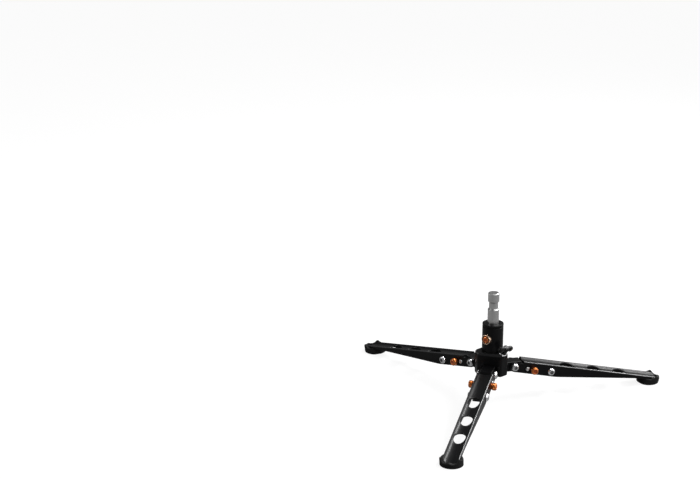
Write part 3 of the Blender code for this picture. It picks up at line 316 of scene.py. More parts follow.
def hub_rings():
    """Rings up the hub: from the cap's bore, round the lower edge and the shoulder, to the seat."""
    plan = hub_plan()
    toward = np.arctan2(plan[:, 1], plan[:, 0])

    def level(outline, height):
        return np.column_stack([outline, np.full(len(outline), height)])

    def round_ring(radius, height):
        return level(radius * np.column_stack([np.cos(toward), np.sin(toward)]), height)

    rings = [round_ring(CAP_BORE, HUB_BOTTOM + height) for height in (CAP_BORE_DEPTH, 0.0004)]
    rings.append(round_ring(CAP_BORE + 0.0004, HUB_BOTTOM))
    for turn in np.radians(np.linspace(0, 90, 7)):
        inset = HUB_LOWER_EDGE * (1 - math.sin(turn))
        rings.append(level(drawn_in(plan, inset), HUB_BOTTOM + HUB_LOWER_EDGE * (1 - math.cos(turn))))
    for turn in np.radians(np.linspace(0, 90, 12)):
        inset = SHOULDER_INSET * (1 - math.cos(turn))
        rings.append(level(drawn_in(plan, inset), HUB_TOP - SHOULDER_HEIGHT * (1 - math.sin(turn))))
    rings += [round_ring(SEAT_RADIUS, HUB_TOP - depth) for depth in (0.0, SEAT_DEPTH)]
    return np.array(rings)


# A highlight is painted, partly standing for wear: the middle rings of the lower edge and of the
# shoulder get a lighter colour, and the coat shines there.
stand_axis = shifted(0.0, AXIS_Y, 0.0)
hub = placed(hub_rings(), stand_axis)
highlight_and_wear_shares = np.zeros(hub.shape[:2])
highlight_and_wear_shares[4:8] = highlight_and_wear_shares[12:18] = 0.35
hub_mesh = marked_at("rubbed", skin("hub_casting", hub), highlight_and_wear_shares)
add_piece("hub_casting", hub_mesh, powder_coat, "stand", ["hub_body"])


# The arms are cast in one with the hub: flat bars with a round end about each leg's pivot, and the
# boss on the corner is a short round stub under the clamp's ferrule.
PIVOT_ALONG = 0.0310
ARM_ROOT = 0.0130
ARM_END = 0.0122
ARM_ARC = (-35.0, 36.2)
ARM_ABOVE = 0.0072
ARM_BELOW = 0.0070
ARM_HALF_WIDTH = 0.0084
ARM_EDGE = 0.0007


def slab(outline, half, edge, steps=5):
    """Rings of an outline carried across its thickness, with both rims rounded by the edge's radius."""
    rings = []
    for side in (-1, 1):
        turns = np.radians(np.linspace(90, 0, steps) if side < 0 else np.linspace(0, 90, steps))
        for turn in turns:
            flat = drawn_in(outline, edge * (1 - math.cos(turn)))
            depth = side * (half - edge * (1 - math.sin(turn)))
            rings.append(np.column_stack([flat[:, 0], np.full(len(flat), depth), flat[:, 1]]))
    return np.array(rings)


def arm_outline():
    """The arm from the side: an arc about the pivot that ends where it meets the two straight edges."""
    turns = np.radians(np.linspace(*ARM_ARC, 24))
    end = [PIVOT_ALONG + ARM_END * np.cos(turns), PIVOT_HEIGHT + ARM_END * np.sin(turns)]
    root = [(ARM_ROOT, PIVOT_HEIGHT + ARM_ABOVE), (ARM_ROOT, PIVOT_HEIGHT - ARM_BELOW)]
    return np.concatenate([np.column_stack(end), root])


for leg, azimuth in LEGS.items():
    arm = placed(slab(arm_outline(), ARM_HALF_WIDTH, ARM_EDGE), stand_axis @ turned_by("Z", azimuth))
    # Painted highlight, partly standing for wear, on the rounded rims of each arm.
    highlight_and_wear_shares = np.zeros(arm.shape[:2])
    highlight_and_wear_shares[1:4] = highlight_and_wear_shares[6:9] = 0.5
    arm_mesh = marked_at("rubbed", skin(f"hub_arm_{leg}", arm), highlight_and_wear_shares)
    add_piece(f"hub_arm_{leg}", arm_mesh, powder_coat, "stand", ["hub_body"])


def turned(profile, steps=96):
    """Rings of a profile of (radius, height) points carried round Z."""
    radius, height = np.asarray(profile).T
    turns = np.linspace(0, 2 * np.pi, steps, endpoint=False)
    round_x, round_y = np.cos(turns), np.sin(turns)
    grid = [radius[:, None] * round_x, radius[:, None] * round_y, height[:, None] + 0 * turns]
    return np.stack(grid, -1)


CLAMP_AZIMUTH = -34.0
CLAMP_ELEVATION = 57.0
CLAMP_SEAT = (0.02085, 0.0, PIVOT_HEIGHT + 0.0255)
BOSS_RADIUS = 0.0062
BOSS_DEPTH = 0.0100
STUD_HOLE = 0.0028

clamp = stand_axis @ turned_by("Z", CLAMP_AZIMUTH) @ shifted(*CLAMP_SEAT)
clamp = clamp @ turned_by("Y", 90.0 - CLAMP_ELEVATION)
boss = turned(softened([
    (BOSS_RADIUS, -BOSS_DEPTH, 0.0),
    (BOSS_RADIUS, 0.0, 0.0004),
    (STUD_HOLE, 0.0, 0.0),
], closed=False))
boss_mesh = skin("clamp_boss", placed(boss, clamp))
add_piece("clamp_boss", boss_mesh, powder_coat, "stand", ["hub_body"])


# The column: a turned aluminium tube, black anodised to match, that stands in the hub's seat and
# turns there. The ring in its mouth leaves a narrow groove under its rim.
COLUMN_RADIUS = 0.0150
COLUMN_TOP = PIVOT_HEIGHT + 0.0662
COLUMN_FOOT = HUB_TOP - 0.0001
COLLAR_SEAT = COLUMN_TOP - 0.0042
COLLAR_STEM = 0.0110
COLLAR_STEM_DEPTH = 0.0050
GROOVE_RADIUS = 0.0142
RIM_THICKNESS = 0.0030
SPIGOT_BORE = 0.0083

satin_black, flow, ends = finish_on("satin_black", specular=0.14)
lathe = noise(flow, 1.0, stretch=(40.0, 40.0, 9000.0))
cloud = noise(flow, 55.0, 4.0, 0.6)
black = between(flow, cloud, (0.0030, 0.0030, 0.0034), (0.0065, 0.0065, 0.0070))
dress(flow, ends, black, 0.22 + cloud * 0.10 + lathe * 0.10, embossed(flow, lathe, 0.00002, 0.4))

tube = turned(softened([
    (0.0090, COLUMN_FOOT, 0.0),
    (COLUMN_RADIUS, COLUMN_FOOT, 0.0003),
    (COLUMN_RADIUS, COLLAR_SEAT - 0.0003, 0.0005),
    (0.0112, COLLAR_SEAT - 0.0003, 0.0),
], closed=False), 128)
tube_mesh = skin("column_tube", placed(tube, stand_axis))
add_piece("column_tube", tube_mesh, satin_black, "column", ["column"])

collar = turned(softened([
    (SPIGOT_BORE, COLLAR_SEAT - COLLAR_STEM_DEPTH, 0.0),
    (COLLAR_STEM, COLLAR_SEAT - COLLAR_STEM_DEPTH, 0.0),
    (COLLAR_STEM, COLLAR_SEAT, 0.0),
    (GROOVE_RADIUS, COLLAR_SEAT, 0.0),
    (GROOVE_RADIUS, COLUMN_TOP - RIM_THICKNESS, 0.0),
    (COLUMN_RADIUS, COLUMN_TOP - RIM_THICKNESS, 0.0003),
    (COLUMN_RADIUS, COLUMN_TOP, 0.0006),
    (SPIGOT_BORE, COLUMN_TOP, 0.0005),
]), 128)
collar_mesh = skin("collar", placed(collar, stand_axis), looped=True)
add_piece("collar", collar_mesh, satin_black, "column", ["column_collar"])


# The spigot: a turned and zinc plated steel stud of 16 mm with an undercut neck. It stands in the
# column's socket and is held there by the lock pin.
SPIGOT_RADIUS = 0.0080
SPIGOT_FOOT = COLUMN_TOP - 0.0587
SPIGOT_TIP = COLUMN_TOP + 0.0450
SPIGOT_CHAMFER = 0.0010
NECK_RADIUS = 0.0064
NECK_TOP = SPIGOT_TIP - 0.0125
NECK_FOOT = NECK_TOP - 0.0120
NECK_SLOPE = 0.0016

plated, flow, ends = finish_on("plated_steel", metallic=1.0)
lathe = noise(flow, 1.0, stretch=(60.0, 60.0, 14000.0))
haze = noise(flow, 120.0, 5.0, 0.65)
zinc = between(flow, haze, (0.50, 0.50, 0.50), (0.66, 0.66, 0.65))
dress(flow, ends, zinc, 0.20 + haze * 0.14 + lathe * 0.08, embossed(flow, lathe, 0.000012, 0.5))

stud = turned(softened([
    (SPIGOT_RADIUS - SPIGOT_CHAMFER, SPIGOT_FOOT, 0.0),
    (SPIGOT_RADIUS, SPIGOT_FOOT + SPIGOT_CHAMFER, 0.0),
    (SPIGOT_RADIUS, NECK_FOOT, 0.0004),
    (NECK_RADIUS, NECK_FOOT + NECK_SLOPE, 0.0012),
    (NECK_RADIUS, NECK_TOP - NECK_SLOPE, 0.0012),
    (SPIGOT_RADIUS, NECK_TOP, 0.0004),
    (SPIGOT_RADIUS, SPIGOT_TIP - SPIGOT_CHAMFER, 0.0004),
    (SPIGOT_RADIUS - SPIGOT_CHAMFER, SPIGOT_TIP, 0.0003),
    (0.0020, SPIGOT_TIP, 0.0),
], closed=False), 128)
stud_mesh = skin("spigot_stud", placed(stud, stand_axis))
add_piece("spigot_stud", stud_mesh, plated, "column", ["spigot"])


# The release button: an orange anodised plunger in a pale copper bezel. The bezel's skirt is cut to
# the column's round side, and its lip keeps the button in.
BUTTON_AZIMUTH = -112.2
BUTTON_HEIGHT = COLUMN_TOP - 0.0208
BEZEL_RADIUS = 0.0072
BEZEL_FACE = 0.0177
BEZEL_FLOOR = BEZEL_FACE - 0.0010
BEZEL_FOOT = 0.0116
SKIRT_HEIGHT = 0.0140
BUTTON_RADIUS = 0.0045
BUTTON_FACE = BEZEL_FACE + 0.0008
BUTTON_UNDER = BEZEL_FACE - 0.0028
FLANGE_RADIUS = 0.0047
FLANGE_HEIGHT = 0.0013

copper, flow, ends = finish_on("pale_copper", metallic=1.0)
haze = noise(flow, 420.0, 4.0, 0.6)
bright = between(flow, haze, (0.80, 0.54, 0.36), (0.96, 0.76, 0.60))
# Painted shade: the colour turns dark brown where the attribute marks a recess.
metal, shade_share = marked(flow, "grime", bright, (0.060, 0.022, 0.008))
slope = embossed(flow, noise(flow, 5200.0), 0.000006, 0.4)
dress(flow, ends, metal, 0.14 + haze * 0.12 + shade_share * 0.3, slope)

orange, flow, ends = finish_on("orange_anodised", metallic=1.0, coat=0.6)
ends["Coat Roughness"].default_value = 0.08
haze = noise(flow, 300.0, 4.0, 0.6)
bright = between(flow, haze, (0.66, 0.165, 0.032), (0.84, 0.26, 0.066))
# Painted shade: the colour turns deep orange-brown where the attribute marks a hollow.
metal, shade_share = marked(flow, "grime", bright, (0.42, 0.070, 0.011))
slope = embossed(flow, noise(flow, 6500.0), 0.000008, 0.5)
dress(flow, ends, metal, 0.22 + haze * 0.14 + shade_share * 0.2, slope)


def off_axis(rings):
    """How far each point of some rings is from Z."""
    return np.hypot(rings[..., 0], rings[..., 1])


button = stand_axis @ turned_by("Z", BUTTON_AZIMUTH) @ shifted(z=BUTTON_HEIGHT) @ turned_by("Y", 90)
bezel = turned(softened([
    (0.0050, BEZEL_FOOT, 0.0),
    (0.0057, BEZEL_FOOT, 0.0),
    (0.0057, SKIRT_HEIGHT, 0.0),
    (BEZEL_RADIUS, SKIRT_HEIGHT, 0.0),
    (BEZEL_RADIUS, BEZEL_FACE, 0.0009),
    (0.0060, BEZEL_FACE, 0.0003),
    (0.0057, BEZEL_FLOOR, 0.0002),
    (0.0048, BEZEL_FLOOR, 0.0001),
    (0.0048, BEZEL_FLOOR - 0.0004, 0.0),
    (0.0050, BEZEL_FLOOR - 0.0004, 0.0),
]), 128)
height = bezel[..., 2]
# Painted shade: the floor of the recess round the button is marked to render dark.
shaded = (np.abs(height - BEZEL_FLOOR) < 0.00045) & (off_axis(bezel) < 0.00585)
on_column = np.sqrt((COLUMN_RADIUS + 0.00005) ** 2 - bezel[..., 1] ** 2)
bezel[..., 2] = np.where(np.isclose(height, SKIRT_HEIGHT), on_column, height)
bezel_mesh = marked_at("grime", skin("bezel", placed(bezel, button), looped=True), shaded)
add_piece("bezel", bezel_mesh, copper, "column", ["button_bezel"])

plunger = turned(softened([
    (0.0004, BUTTON_FACE - 0.0003, 0.0),
    (0.0026, BUTTON_FACE - 0.0003, 0.0010),
    (0.0032, BUTTON_FACE, 0.0005),
    (BUTTON_RADIUS, BUTTON_FACE - 0.0006, 0.0006),
    (BUTTON_RADIUS, BUTTON_UNDER + FLANGE_HEIGHT, 0.0),
    (FLANGE_RADIUS, BUTTON_UNDER + FLANGE_HEIGHT, 0.0),
    (FLANGE_RADIUS, BUTTON_UNDER, 0.0),
    (0.0019, BUTTON_UNDER, 0.0),
    (0.0019, 0.0106, 0.0),
], closed=False), 96)
# Painted shade: the dished middle of the button's face is marked to render darker.
shaded = (plunger[..., 2] > BUTTON_FACE - 0.00035) & (off_axis(plunger) < 0.0028)
plunger_mesh = marked_at("grime", skin("button_plunger", placed(plunger, button)), shaded)
add_piece("button_plunger", plunger_mesh, orange, "release", ["release_button"])


# The clamp: a chromed ferrule on the boss and a moulded wing knob with its stud set in. Turning it
# drives the stud against the column.
WING_TURN = 81.0
WING_REACH = 0.0122
KNOB_BOSS_TOP = 0.0150

chrome, flow, ends = finish_on("bright_chrome", metallic=1.0)
haze = noise(flow, 260.0, 4.0, 0.6)
bright = between(flow, haze, (0.80, 0.81, 0.82), (0.92, 0.92, 0.93))
# Painted shade: the colour turns near black where the attribute marks a socket.
metal, shade_share = marked(flow, "grime", bright, (0.03, 0.03, 0.03))
slope = embossed(flow, noise(flow, 900.0, 3.0), 0.000010, 0.35)
dress(flow, ends, metal, 0.05 + haze * 0.08 + shade_share * 0.4, slope)

gloss_black, flow, ends = finish_on("moulded_black", specular=0.17)
cloud = noise(flow, 160.0, 4.0, 0.6)
black = between(flow, cloud, (0.0060, 0.0060, 0.0064), (0.0110, 0.0110, 0.0114))
slope = embossed(flow, noise(flow, 1900.0, 3.0), 0.00002, 0.4)
dress(flow, ends, black, 0.16 + cloud * 0.16, slope)

ferrule = turned(softened([
    (STUD_HOLE, 0.0003, 0.0),
    (0.0055, 0.0003, 0.0004),
    (0.0053, 0.0021, 0.0006),
    (STUD_HOLE, 0.0021, 0.0),
]), 96)
ferrule_mesh = skin("ferrule_ring", placed(ferrule, clamp), looped=True)
add_piece("ferrule_ring", ferrule_mesh, chrome, "stand", ["clamp_ferrule"])

knob_boss = turned(softened([
    (STUD_HOLE, 0.0024, 0.0),
    (0.0044, 0.0024, 0.0005),
    (0.0040, 0.0048, 0.0020),
    (0.0047, 0.0092, 0.0030),
    (0.0044, KNOB_BOSS_TOP - 0.0004, 0.0016),
    (0.0006, KNOB_BOSS_TOP, 0.0),
], closed=False), 96)
wing_knob = clamp @ turned_by("Z", WING_TURN)
boss_mesh = skin("handle_boss", placed(knob_boss, wing_knob))
add_piece("handle_boss", boss_mesh, gloss_black, "clamp", ["wing_handle"])


def eased(share):
    """A share held between 0 and 1, that leaves 0 and reaches 1 without a kink: 3s^2 - 2s^3."""
    share = np.clip(share, 0, 1)
    return share * share * (3 - 2 * share)


def wing_rings(count=72, around=56):
    """Ovals along the span: a straight top, lobes deepest near both tips, and blunt round ends."""
    along = np.sin(np.linspace(-np.pi / 2, np.pi / 2, count)) * 0.99999
    turns = np.linspace(0, 2 * np.pi, around, endpoint=False)
    end = np.sqrt(1 - np.abs(along) ** 6)
    lobe = eased((np.abs(along) - 0.2) / 0.45)
    depth = (0.0035 + 0.0013 * lobe) * end
    thick = (0.0026 + 0.0009 * lobe) * end
    middle = 0.0115 - 0.0012 * lobe
    squareness = 0.78
    side = np.sign(np.cos(turns)) * np.abs(np.cos(turns)) ** squareness
    rise = np.sign(np.sin(turns)) * np.abs(np.sin(turns)) ** squareness
    x = np.broadcast_to(WING_REACH * along[:, None], (count, around))
    return np.stack([x, thick[:, None] * side, middle[:, None] + depth[:, None] * rise], -1)


wing_mesh = skin("handle_wings", placed(wing_rings(), wing_knob))
add_piece("handle_wings", wing_mesh, gloss_black, "clamp", ["wing_handle"])


# The legs: pressed channels with a dished top, rounded rims and deep flanges by the hub, three oval
# holes each, and a half-round tip over the foot. Powder coated like the hub.
LEG_SLOPE = 12.0
FOOT_ALONG = 0.2121
LEG_HALF_WIDTH = 0.0115
LEG_WALL = 0.0020
LEG_INNER = 0.0095
PLATE_START = 0.0133
PLATE_TOP = 0.0100
TROUGH_DEPTH = 0.0022
TROUGH_HALF_WIDTH = 0.0097
RIM_RADIUS = 0.0012
RIM_MIDDLE = 0.0088
RIM_LIFT = 0.0006
FLANGE_TOP = 0.0065
FLANGE_BOTTOM = -0.0071
FLANGE_START = -0.0071
TAPER_START = 0.0650
TAPER_END = 0.1860
TIP_BOTTOM = 0.0052
TIP_RADIUS = 0.01151
LEG_EDGE = 0.00055
HOLES = (0.0825, 0.1250, 0.1660)
HOLE_LENGTH = 0.0117
HOLE_WIDTH = 0.0079
HOLE_ROLL = 0.0010
BEYOND = 0.0300


def leg_place(azimuth):
    """The leg's own frame at its pivot: X out along the slope, Y across the leg, and Z up from it."""
    pivot = shifted(PIVOT_ALONG, 0.0, PIVOT_HEIGHT)
    return stand_axis @ turned_by("Z", azimuth) @ pivot @ turned_by("Y", LEG_SLOPE)


def trough(v):
    """Height of the plate's top across the leg: a parabola 2.2 mm deep between the rims."""
    return PLATE_TOP - TROUGH_DEPTH * (1 - (v / TROUGH_HALF_WIDTH) ** 2)


def channel_section():
    """The channel's closed section: down one flange, over the rims and the dish, and back inside."""
    turns = np.radians(np.linspace(0, 118, 9))
    rim_v = LEG_HALF_WIDTH - RIM_RADIUS + RIM_RADIUS * np.cos(turns)
    rim = np.column_stack([rim_v, RIM_MIDDLE + RIM_RADIUS * np.sin(turns)])
    dish_v = np.linspace(0.0088, -0.0088, 25)
    top = np.concatenate([rim, np.column_stack([dish_v, trough(dish_v)]), rim[::-1] * (-1, 1)])
    under_v = np.linspace(-0.0083, 0.0083, 21)
    under = np.column_stack([under_v, trough(under_v) - LEG_WALL])
    low = FLANGE_BOTTOM - LEG_WALL
    left = [(-LEG_INNER, low, 0.0), (-LEG_INNER, 0.0067, 0.0010), (*under[0], 0.0)]
    left = softened(left, closed=False)
    foot = np.array([(LEG_HALF_WIDTH, low)])
    return np.concatenate([foot, top, foot * (-1, 1), left, under[1:-1], left[::-1] * (-1, 1)])


def prism(outline, low, high, side):
    """Rings of a flat outline at two depths: upright, across the leg, or along it."""
    rings = []
    for depth in (low, high):
        x, y = outline.T
        z = np.full(len(x), depth)
        order = {"up": (x, y, z), "across": (x, z, y), "along": (z, x, y)}[side]
        rings.append(np.column_stack(order))
    return np.array(rings)


def side_outline():
    """The channel from the side: round at the pivot, deep to 65 mm out, then tapered to the tip."""
    return softened([
        (FLANGE_START, FLANGE_BOTTOM, 0.0069),
        (TAPER_START, FLANGE_BOTTOM, 0.090),
        (TAPER_END, TIP_BOTTOM, 0.060),
        (0.2400, TIP_BOTTOM, 0.0),
        (0.2400, 0.0200, 0.0),
        (PLATE_START, 0.0200, 0.0),
        (PLATE_START - 0.0016, FLANGE_TOP, 0.0012),
        (FLANGE_START, FLANGE_TOP, 0.0062),
    ], steps=12)


def mouth_outline():
    """What is cut from the plate by the hub, so that the arm goes in between the flanges."""
    near, far = -BEYOND, PLATE_START
    return np.array([(near, -LEG_INNER), (far, -LEG_INNER), (far, LEG_INNER), (near, LEG_INNER)])


def tip_outline():
    """What is cut from the end to leave a half-round tip about the foot's screw."""
    turns = np.radians(np.linspace(-90, 90, 41))
    bite = np.column_stack([FOOT_ALONG + TIP_RADIUS * np.cos(turns), TIP_RADIUS * np.sin(turns)])
    rest = [(FOOT_ALONG, 0.020), (0.25, 0.020), (0.25, -0.020), (FOOT_ALONG, -0.020)]
    return np.concatenate([bite, rest])


def oval_rings(place):
    """What is cut for a hole: an oval that widens at the dish, where its rim is rolled, by an arc."""
    turns = np.linspace(0, 2 * np.pi, 72, endpoint=False)

    def ring(grown, height, on_dish):
        u = place + (HOLE_LENGTH + grown) * np.cos(turns)
        v = (HOLE_WIDTH + grown) * np.sin(turns)
        return np.column_stack([u, v, height + on_dish * trough(v)])

    rings = [ring(0.0, 0.0, 0.0)]
    for turn in np.radians(np.linspace(0, 75, 6)):
        rings.append(ring(HOLE_ROLL * (1 - math.cos(turn)), HOLE_ROLL * (math.sin(turn) - 1), 1.0))
    rings.append(ring(HOLE_ROLL * 1.2, HOLE_ROLL * 0.09, 1.0))
    rings.append(ring(HOLE_ROLL * 1.2, BEYOND, 0.0))
    return np.array(rings)


def made_of(item):
    """A new mesh of an object with its modifiers applied."""
    return bpy.data.meshes.new_from_object(item.evaluated_get(bpy.context.evaluated_depsgraph_get()))


def cut_by(mesh, others, operation):
    """The mesh after each of the others is cut from it, or kept in common with it."""
    item = put_in_scene("blank", mesh)
    tools = [put_in_scene("tool", other) for other in others]
    for tool in tools:
        cut = item.modifiers.new("Cut", "BOOLEAN")
        cut.operation, cut.solver, cut.object = operation, "EXACT", tool
    made = made_of(item)
    for used in [item, *tools]:
        bpy.data.objects.remove(used, do_unlink=True)
    return made


def edged(mesh, radius):
    """The mesh with its sharp edges rounded, and a share of 1 where only new faces meet at a point."""
    item = put_in_scene("blank", mesh)
    mesh.materials.clear()
    mesh.materials.append(powder_coat)
    mesh.materials.append(satin_black)
    mesh.polygons.foreach_set("material_index", np.zeros(len(mesh.polygons), int))
    round_edges(item, radius).material = 1
    made = made_of(item)
    bpy.data.objects.remove(item, do_unlink=True)
    is_new = np.empty(len(made.polygons), int)
    made.polygons.foreach_get("material_index", is_new)
    sizes = np.empty(len(made.polygons), int)
    made.polygons.foreach_get("loop_total", sizes)
    corners = np.empty(len(made.loops), int)
    made.loops.foreach_get("vertex_index", corners)
    share = np.ones(len(made.vertices))
    np.minimum.at(share, corners, np.repeat(is_new, sizes))
    made.polygons.foreach_set("material_index", np.zeros(len(made.polygons), int))
    return made, share


def rim_highlight_and_wear(points):
    """Where a highlight is painted, partly standing for wear, and the coat shines: the outer half of
    both rims, and less on the rolled rims of the holes.
    """
    u, v, w = points.T
    highlighted_and_worn = 1.0 * ((w > 0.0089) & (np.abs(v) > 0.0105))
    below = trough(v) - w
    for place in HOLES:
        out = np.hypot((u - place) / HOLE_LENGTH, v / HOLE_WIDTH)
        on_roll = (out > 0.99) & (out < 1.10) & (below > 0.0001) & (below < 0.0009)
        highlighted_and_worn = np.maximum(highlighted_and_worn, 0.3 * on_roll)
    return highlighted_and_worn


def lift_of_rims(points):
    """Toward the tip the rims stand 0.6 mm higher over the dish than by the hub."""
    u, v, w = points.T
    beside = eased((np.abs(v) - 0.0055) / 0.0035)
    outward = np.clip((u - 0.030) / 0.110, 0, 1)
    return RIM_LIFT * outward * beside * (w > 0.0060)


def points_of(mesh):
    """A mesh's points, one to a row."""
    points = np.empty(len(mesh.vertices) * 3)
    mesh.vertices.foreach_get("co", points)
    return points.reshape(-1, 3)


def copy_at(mesh, points, place):
    """A copy of a mesh, with its points taken from an array and put in place."""
    made = mesh.copy()
    made.vertices.foreach_set("co", placed(points, place).ravel())
    made.update()
    return made


blank = skin("channel", prism(channel_section(), -0.015, 0.2300, "along"))
blank = cut_by(blank, [skin("side", prism(side_outline(), -BEYOND, BEYOND, "across"))], "INTERSECT")
cutters = [skin("mouth", prism(mouth_outline(), 0.0, BEYOND, "up"))]
cutters.append(skin("tip", prism(tip_outline(), -0.02, BEYOND, "up")))
cutters += [skin("oval", oval_rings(place)) for place in HOLES]
# Painted highlight, partly standing for wear: every rounded edge of the channel, the outer half of its
# rims and the rolled rims of its holes get a lighter colour.
channel, rubbed = edged(cut_by(blank, cutters, "DIFFERENCE"), LEG_EDGE)
channel_points = points_of(channel)
marked_at("rubbed", channel, np.maximum(rubbed * 0.7, rim_highlight_and_wear(channel_points)))
channel_points[:, 2] += lift_of_rims(channel_points)
for leg, azimuth in LEGS.items():
    leg_mesh = copy_at(channel, channel_points, leg_place(azimuth))
    add_piece(f"channel_{leg}", leg_mesh, powder_coat, f"leg_{leg}", [f"leg_{leg}"])


# The bolts: chromed button heads with a hex socket, and on the other side the head of the sleeve nut
# that the leg turns on. A small domed pin guides the lock slider between them.
PIN_ALONG = 0.0190
ANCHOR_ALONG = 0.0555
HEAD_FACE = 0.0118
HEAD_TOP = HEAD_FACE + 0.0029
HEAD_RADIUS = 0.0055
HEX_SOCKET = 0.0046
SLEEVE_RADIUS = 0.0030
SLEEVE_BORE = 0.0023
SLEEVE_END = -0.0113
SHANK_RADIUS = 0.0020
SHANK_END = -0.0087
PIN_TOP = HEAD_FACE + 0.0015
PIN_RADIUS = 0.0015
PIN_HEAD_RADIUS = 0.0030


def hexagon(width, height, steps=96):
    """A ring of six flat sides at a height."""
    turns = np.linspace(0, 2 * np.pi, steps, endpoint=False)
    reach = width / 2 / np.cos((turns + np.pi / 6) % (np.pi / 3) - np.pi / 6)
    return np.stack([reach * np.cos(turns), reach * np.sin(turns), np.full(steps, height)], -1)


def bolt_rings(depth, inner):
    """A button head with a hex socket of this depth, then a shank given as (radius, height) points."""
    floor = HEAD_TOP - depth
    socket = np.array([
        hexagon(0.0030, floor),
        hexagon(HEX_SOCKET, floor + 0.0003),
        hexagon(HEX_SOCKET, HEAD_TOP - 0.0002),
        hexagon(HEX_SOCKET + 0.0003, HEAD_TOP),
    ])
    dome = softened([
        (0.0030, HEAD_TOP, 0.0),
        (0.0036, HEAD_TOP - 0.0001, 0.0012),
        (0.0049, HEAD_TOP - 0.0011, 0.0020),
        (HEAD_RADIUS, HEAD_TOP - 0.0024, 0.0004),
        (HEAD_RADIUS, HEAD_FACE, 0.0),
        *inner,
    ], closed=False)
    return np.concatenate([socket, turned(dome)])


def in_socket(rings):
    """The share of painted shade in a head's socket: most on its walls, less on its floor and about its
    rim.
    """
    shares = np.zeros(len(rings))
    shares[:4] = (0.75, 1.0, 1.0, 0.3)
    return np.repeat(shares, rings.shape[1])


def add_head(name, rings, place, leg, node):
    """Shows a bolt or a nut in its leg, with painted shade in its socket."""
    mesh = marked_at("grime", skin(name, placed(rings, place)), in_socket(rings))
    add_piece(name, mesh, chrome, f"leg_{leg}", [node])


# The right leg's bolts are put in from its other side.
across = turned_by("X", -90)
bolt = bolt_rings(0.0016, [(SHANK_RADIUS, HEAD_FACE, 0.0), (SHANK_RADIUS, SHANK_END, 0.0)])
nut = bolt_rings(0.0010, [
    (SLEEVE_RADIUS, HEAD_FACE, 0.0),
    (SLEEVE_RADIUS, SLEEVE_END, 0.0),
    (SLEEVE_BORE, SLEEVE_END, 0.0),
    (SLEEVE_BORE, 0.0089, 0.0),
])
for leg, azimuth in LEGS.items():
    bolt_side = turned_by("X", 180 if leg == "right" else 0)
    for name, along in (("pivot", 0.0), ("anchor", ANCHOR_ALONG)):
        place = leg_place(azimuth) @ shifted(along) @ bolt_side @ across
        add_head(f"{name}_screw_{leg}", bolt, place, leg, f"{name}_bolt_{leg}")
        add_head(f"{name}_sleeve_{leg}", nut, place @ turned_by("X", 180), leg, f"{name}_nut_{leg}")

half_pin = softened([
    (0.0004, PIN_TOP - 0.0004, 0.0),
    (0.0012, PIN_TOP - 0.0004, 0.0003),
    (0.0016, PIN_TOP, 0.0003),
    (0.0028, PIN_TOP - 0.0004, 0.0012),
    (PIN_HEAD_RADIUS, HEAD_FACE, 0.0),
    (PIN_RADIUS, HEAD_FACE, 0.0),
], closed=False)
pin = turned(np.concatenate([half_pin, half_pin[::-1] * (1, -1)]), 64)
for leg, azimuth in LEGS.items():
    pin_mesh = skin(f"domed_pin_{leg}", placed(pin, leg_place(azimuth) @ shifted(PIN_ALONG) @ across))
    add_piece(f"domed_pin_{leg}", pin_mesh, plated, f"leg_{leg}", [f"guide_pin_{leg}"])


# The pull knobs: turned aluminium, orange anodised, with a finely ribbed rim and a waist. Both are
# pressed into the lock slider, which they draw outward to free the leg.
KNOB_ALONG = 0.0282
KNOB_TOP = HEAD_FACE + 0.0082
KNOB_RADIUS = 0.0053
KNOB_WAIST = 0.0044
KNOB_STEM = 0.0020
KNOB_RIBS = 48
RIB_DEPTH = 0.012


def knob_rings(around=240):
    """The knob's profile carried round, with its widest part ribbed by a cosine of 48 periods."""
    profile = softened([
        (0.0006, KNOB_TOP - 0.0009, 0.0),
        (0.0024, KNOB_TOP - 0.0009, 0.0004),
        (0.0030, KNOB_TOP, 0.0004),
        (0.0040, KNOB_TOP - 0.0002, 0.0010),
        (KNOB_RADIUS, KNOB_TOP - 0.0014, 0.0010),
        (KNOB_RADIUS, KNOB_TOP - 0.0054, 0.0004),
        (KNOB_WAIST, KNOB_TOP - 0.0062, 0.0006),
        (KNOB_WAIST, HEAD_FACE, 0.0),
        (KNOB_STEM, HEAD_FACE, 0.0),
        (KNOB_STEM, 0.0063, 0.0),
    ], closed=False)
    rings = turned(profile, around)
    turns = np.linspace(0, 2 * np.pi, around, endpoint=False)
    wide = np.clip((profile[:, 0] - (KNOB_RADIUS - 0.0002)) / 0.0001, 0, 1)[:, None]
    rings[..., :2] *= (1 - RIB_DEPTH * wide * (0.5 + 0.5 * np.cos(KNOB_RIBS * turns)))[..., None]
    return rings


knob = knob_rings()
# Painted shade: the knob's dished face renders darker, and its waist, under the head, a little less.
in_dish = (knob[..., 2] > KNOB_TOP - 0.00095) & (off_axis(knob) < 0.0027)
at_waist = knob[..., 2] < KNOB_TOP - 0.0058
for leg, azimuth in LEGS.items():
    for side, flip in (("a", 0.0), ("b", 180.0)):
        place = leg_place(azimuth) @ shifted(KNOB_ALONG) @ turned_by("X", flip) @ across
        grip = skin(f"grip_{leg}_{side}", placed(knob, place))
        marked_at("grime", grip, np.maximum(in_dish, at_waist * 0.6))
        node = f"pull_knob_{leg}_{side}"
        add_piece(f"grip_{leg}_{side}", grip, orange, f"lock_{leg}", [node])


# The springs: drawn wire coils, one behind each lock slider and two behind the release button.
# Each is given as its radius, its wire's radius, its two ends along its axis and its turns.
SLIDER_COIL = (0.0023, 0.0004, 0.0363, 0.0522, 7)
BUTTON_COIL = (0.0034, 0.00025, 0.0118, 0.0146, 2)
PIN_COIL = (0.0016, 0.0003, -0.0047, 0.0017, 5)

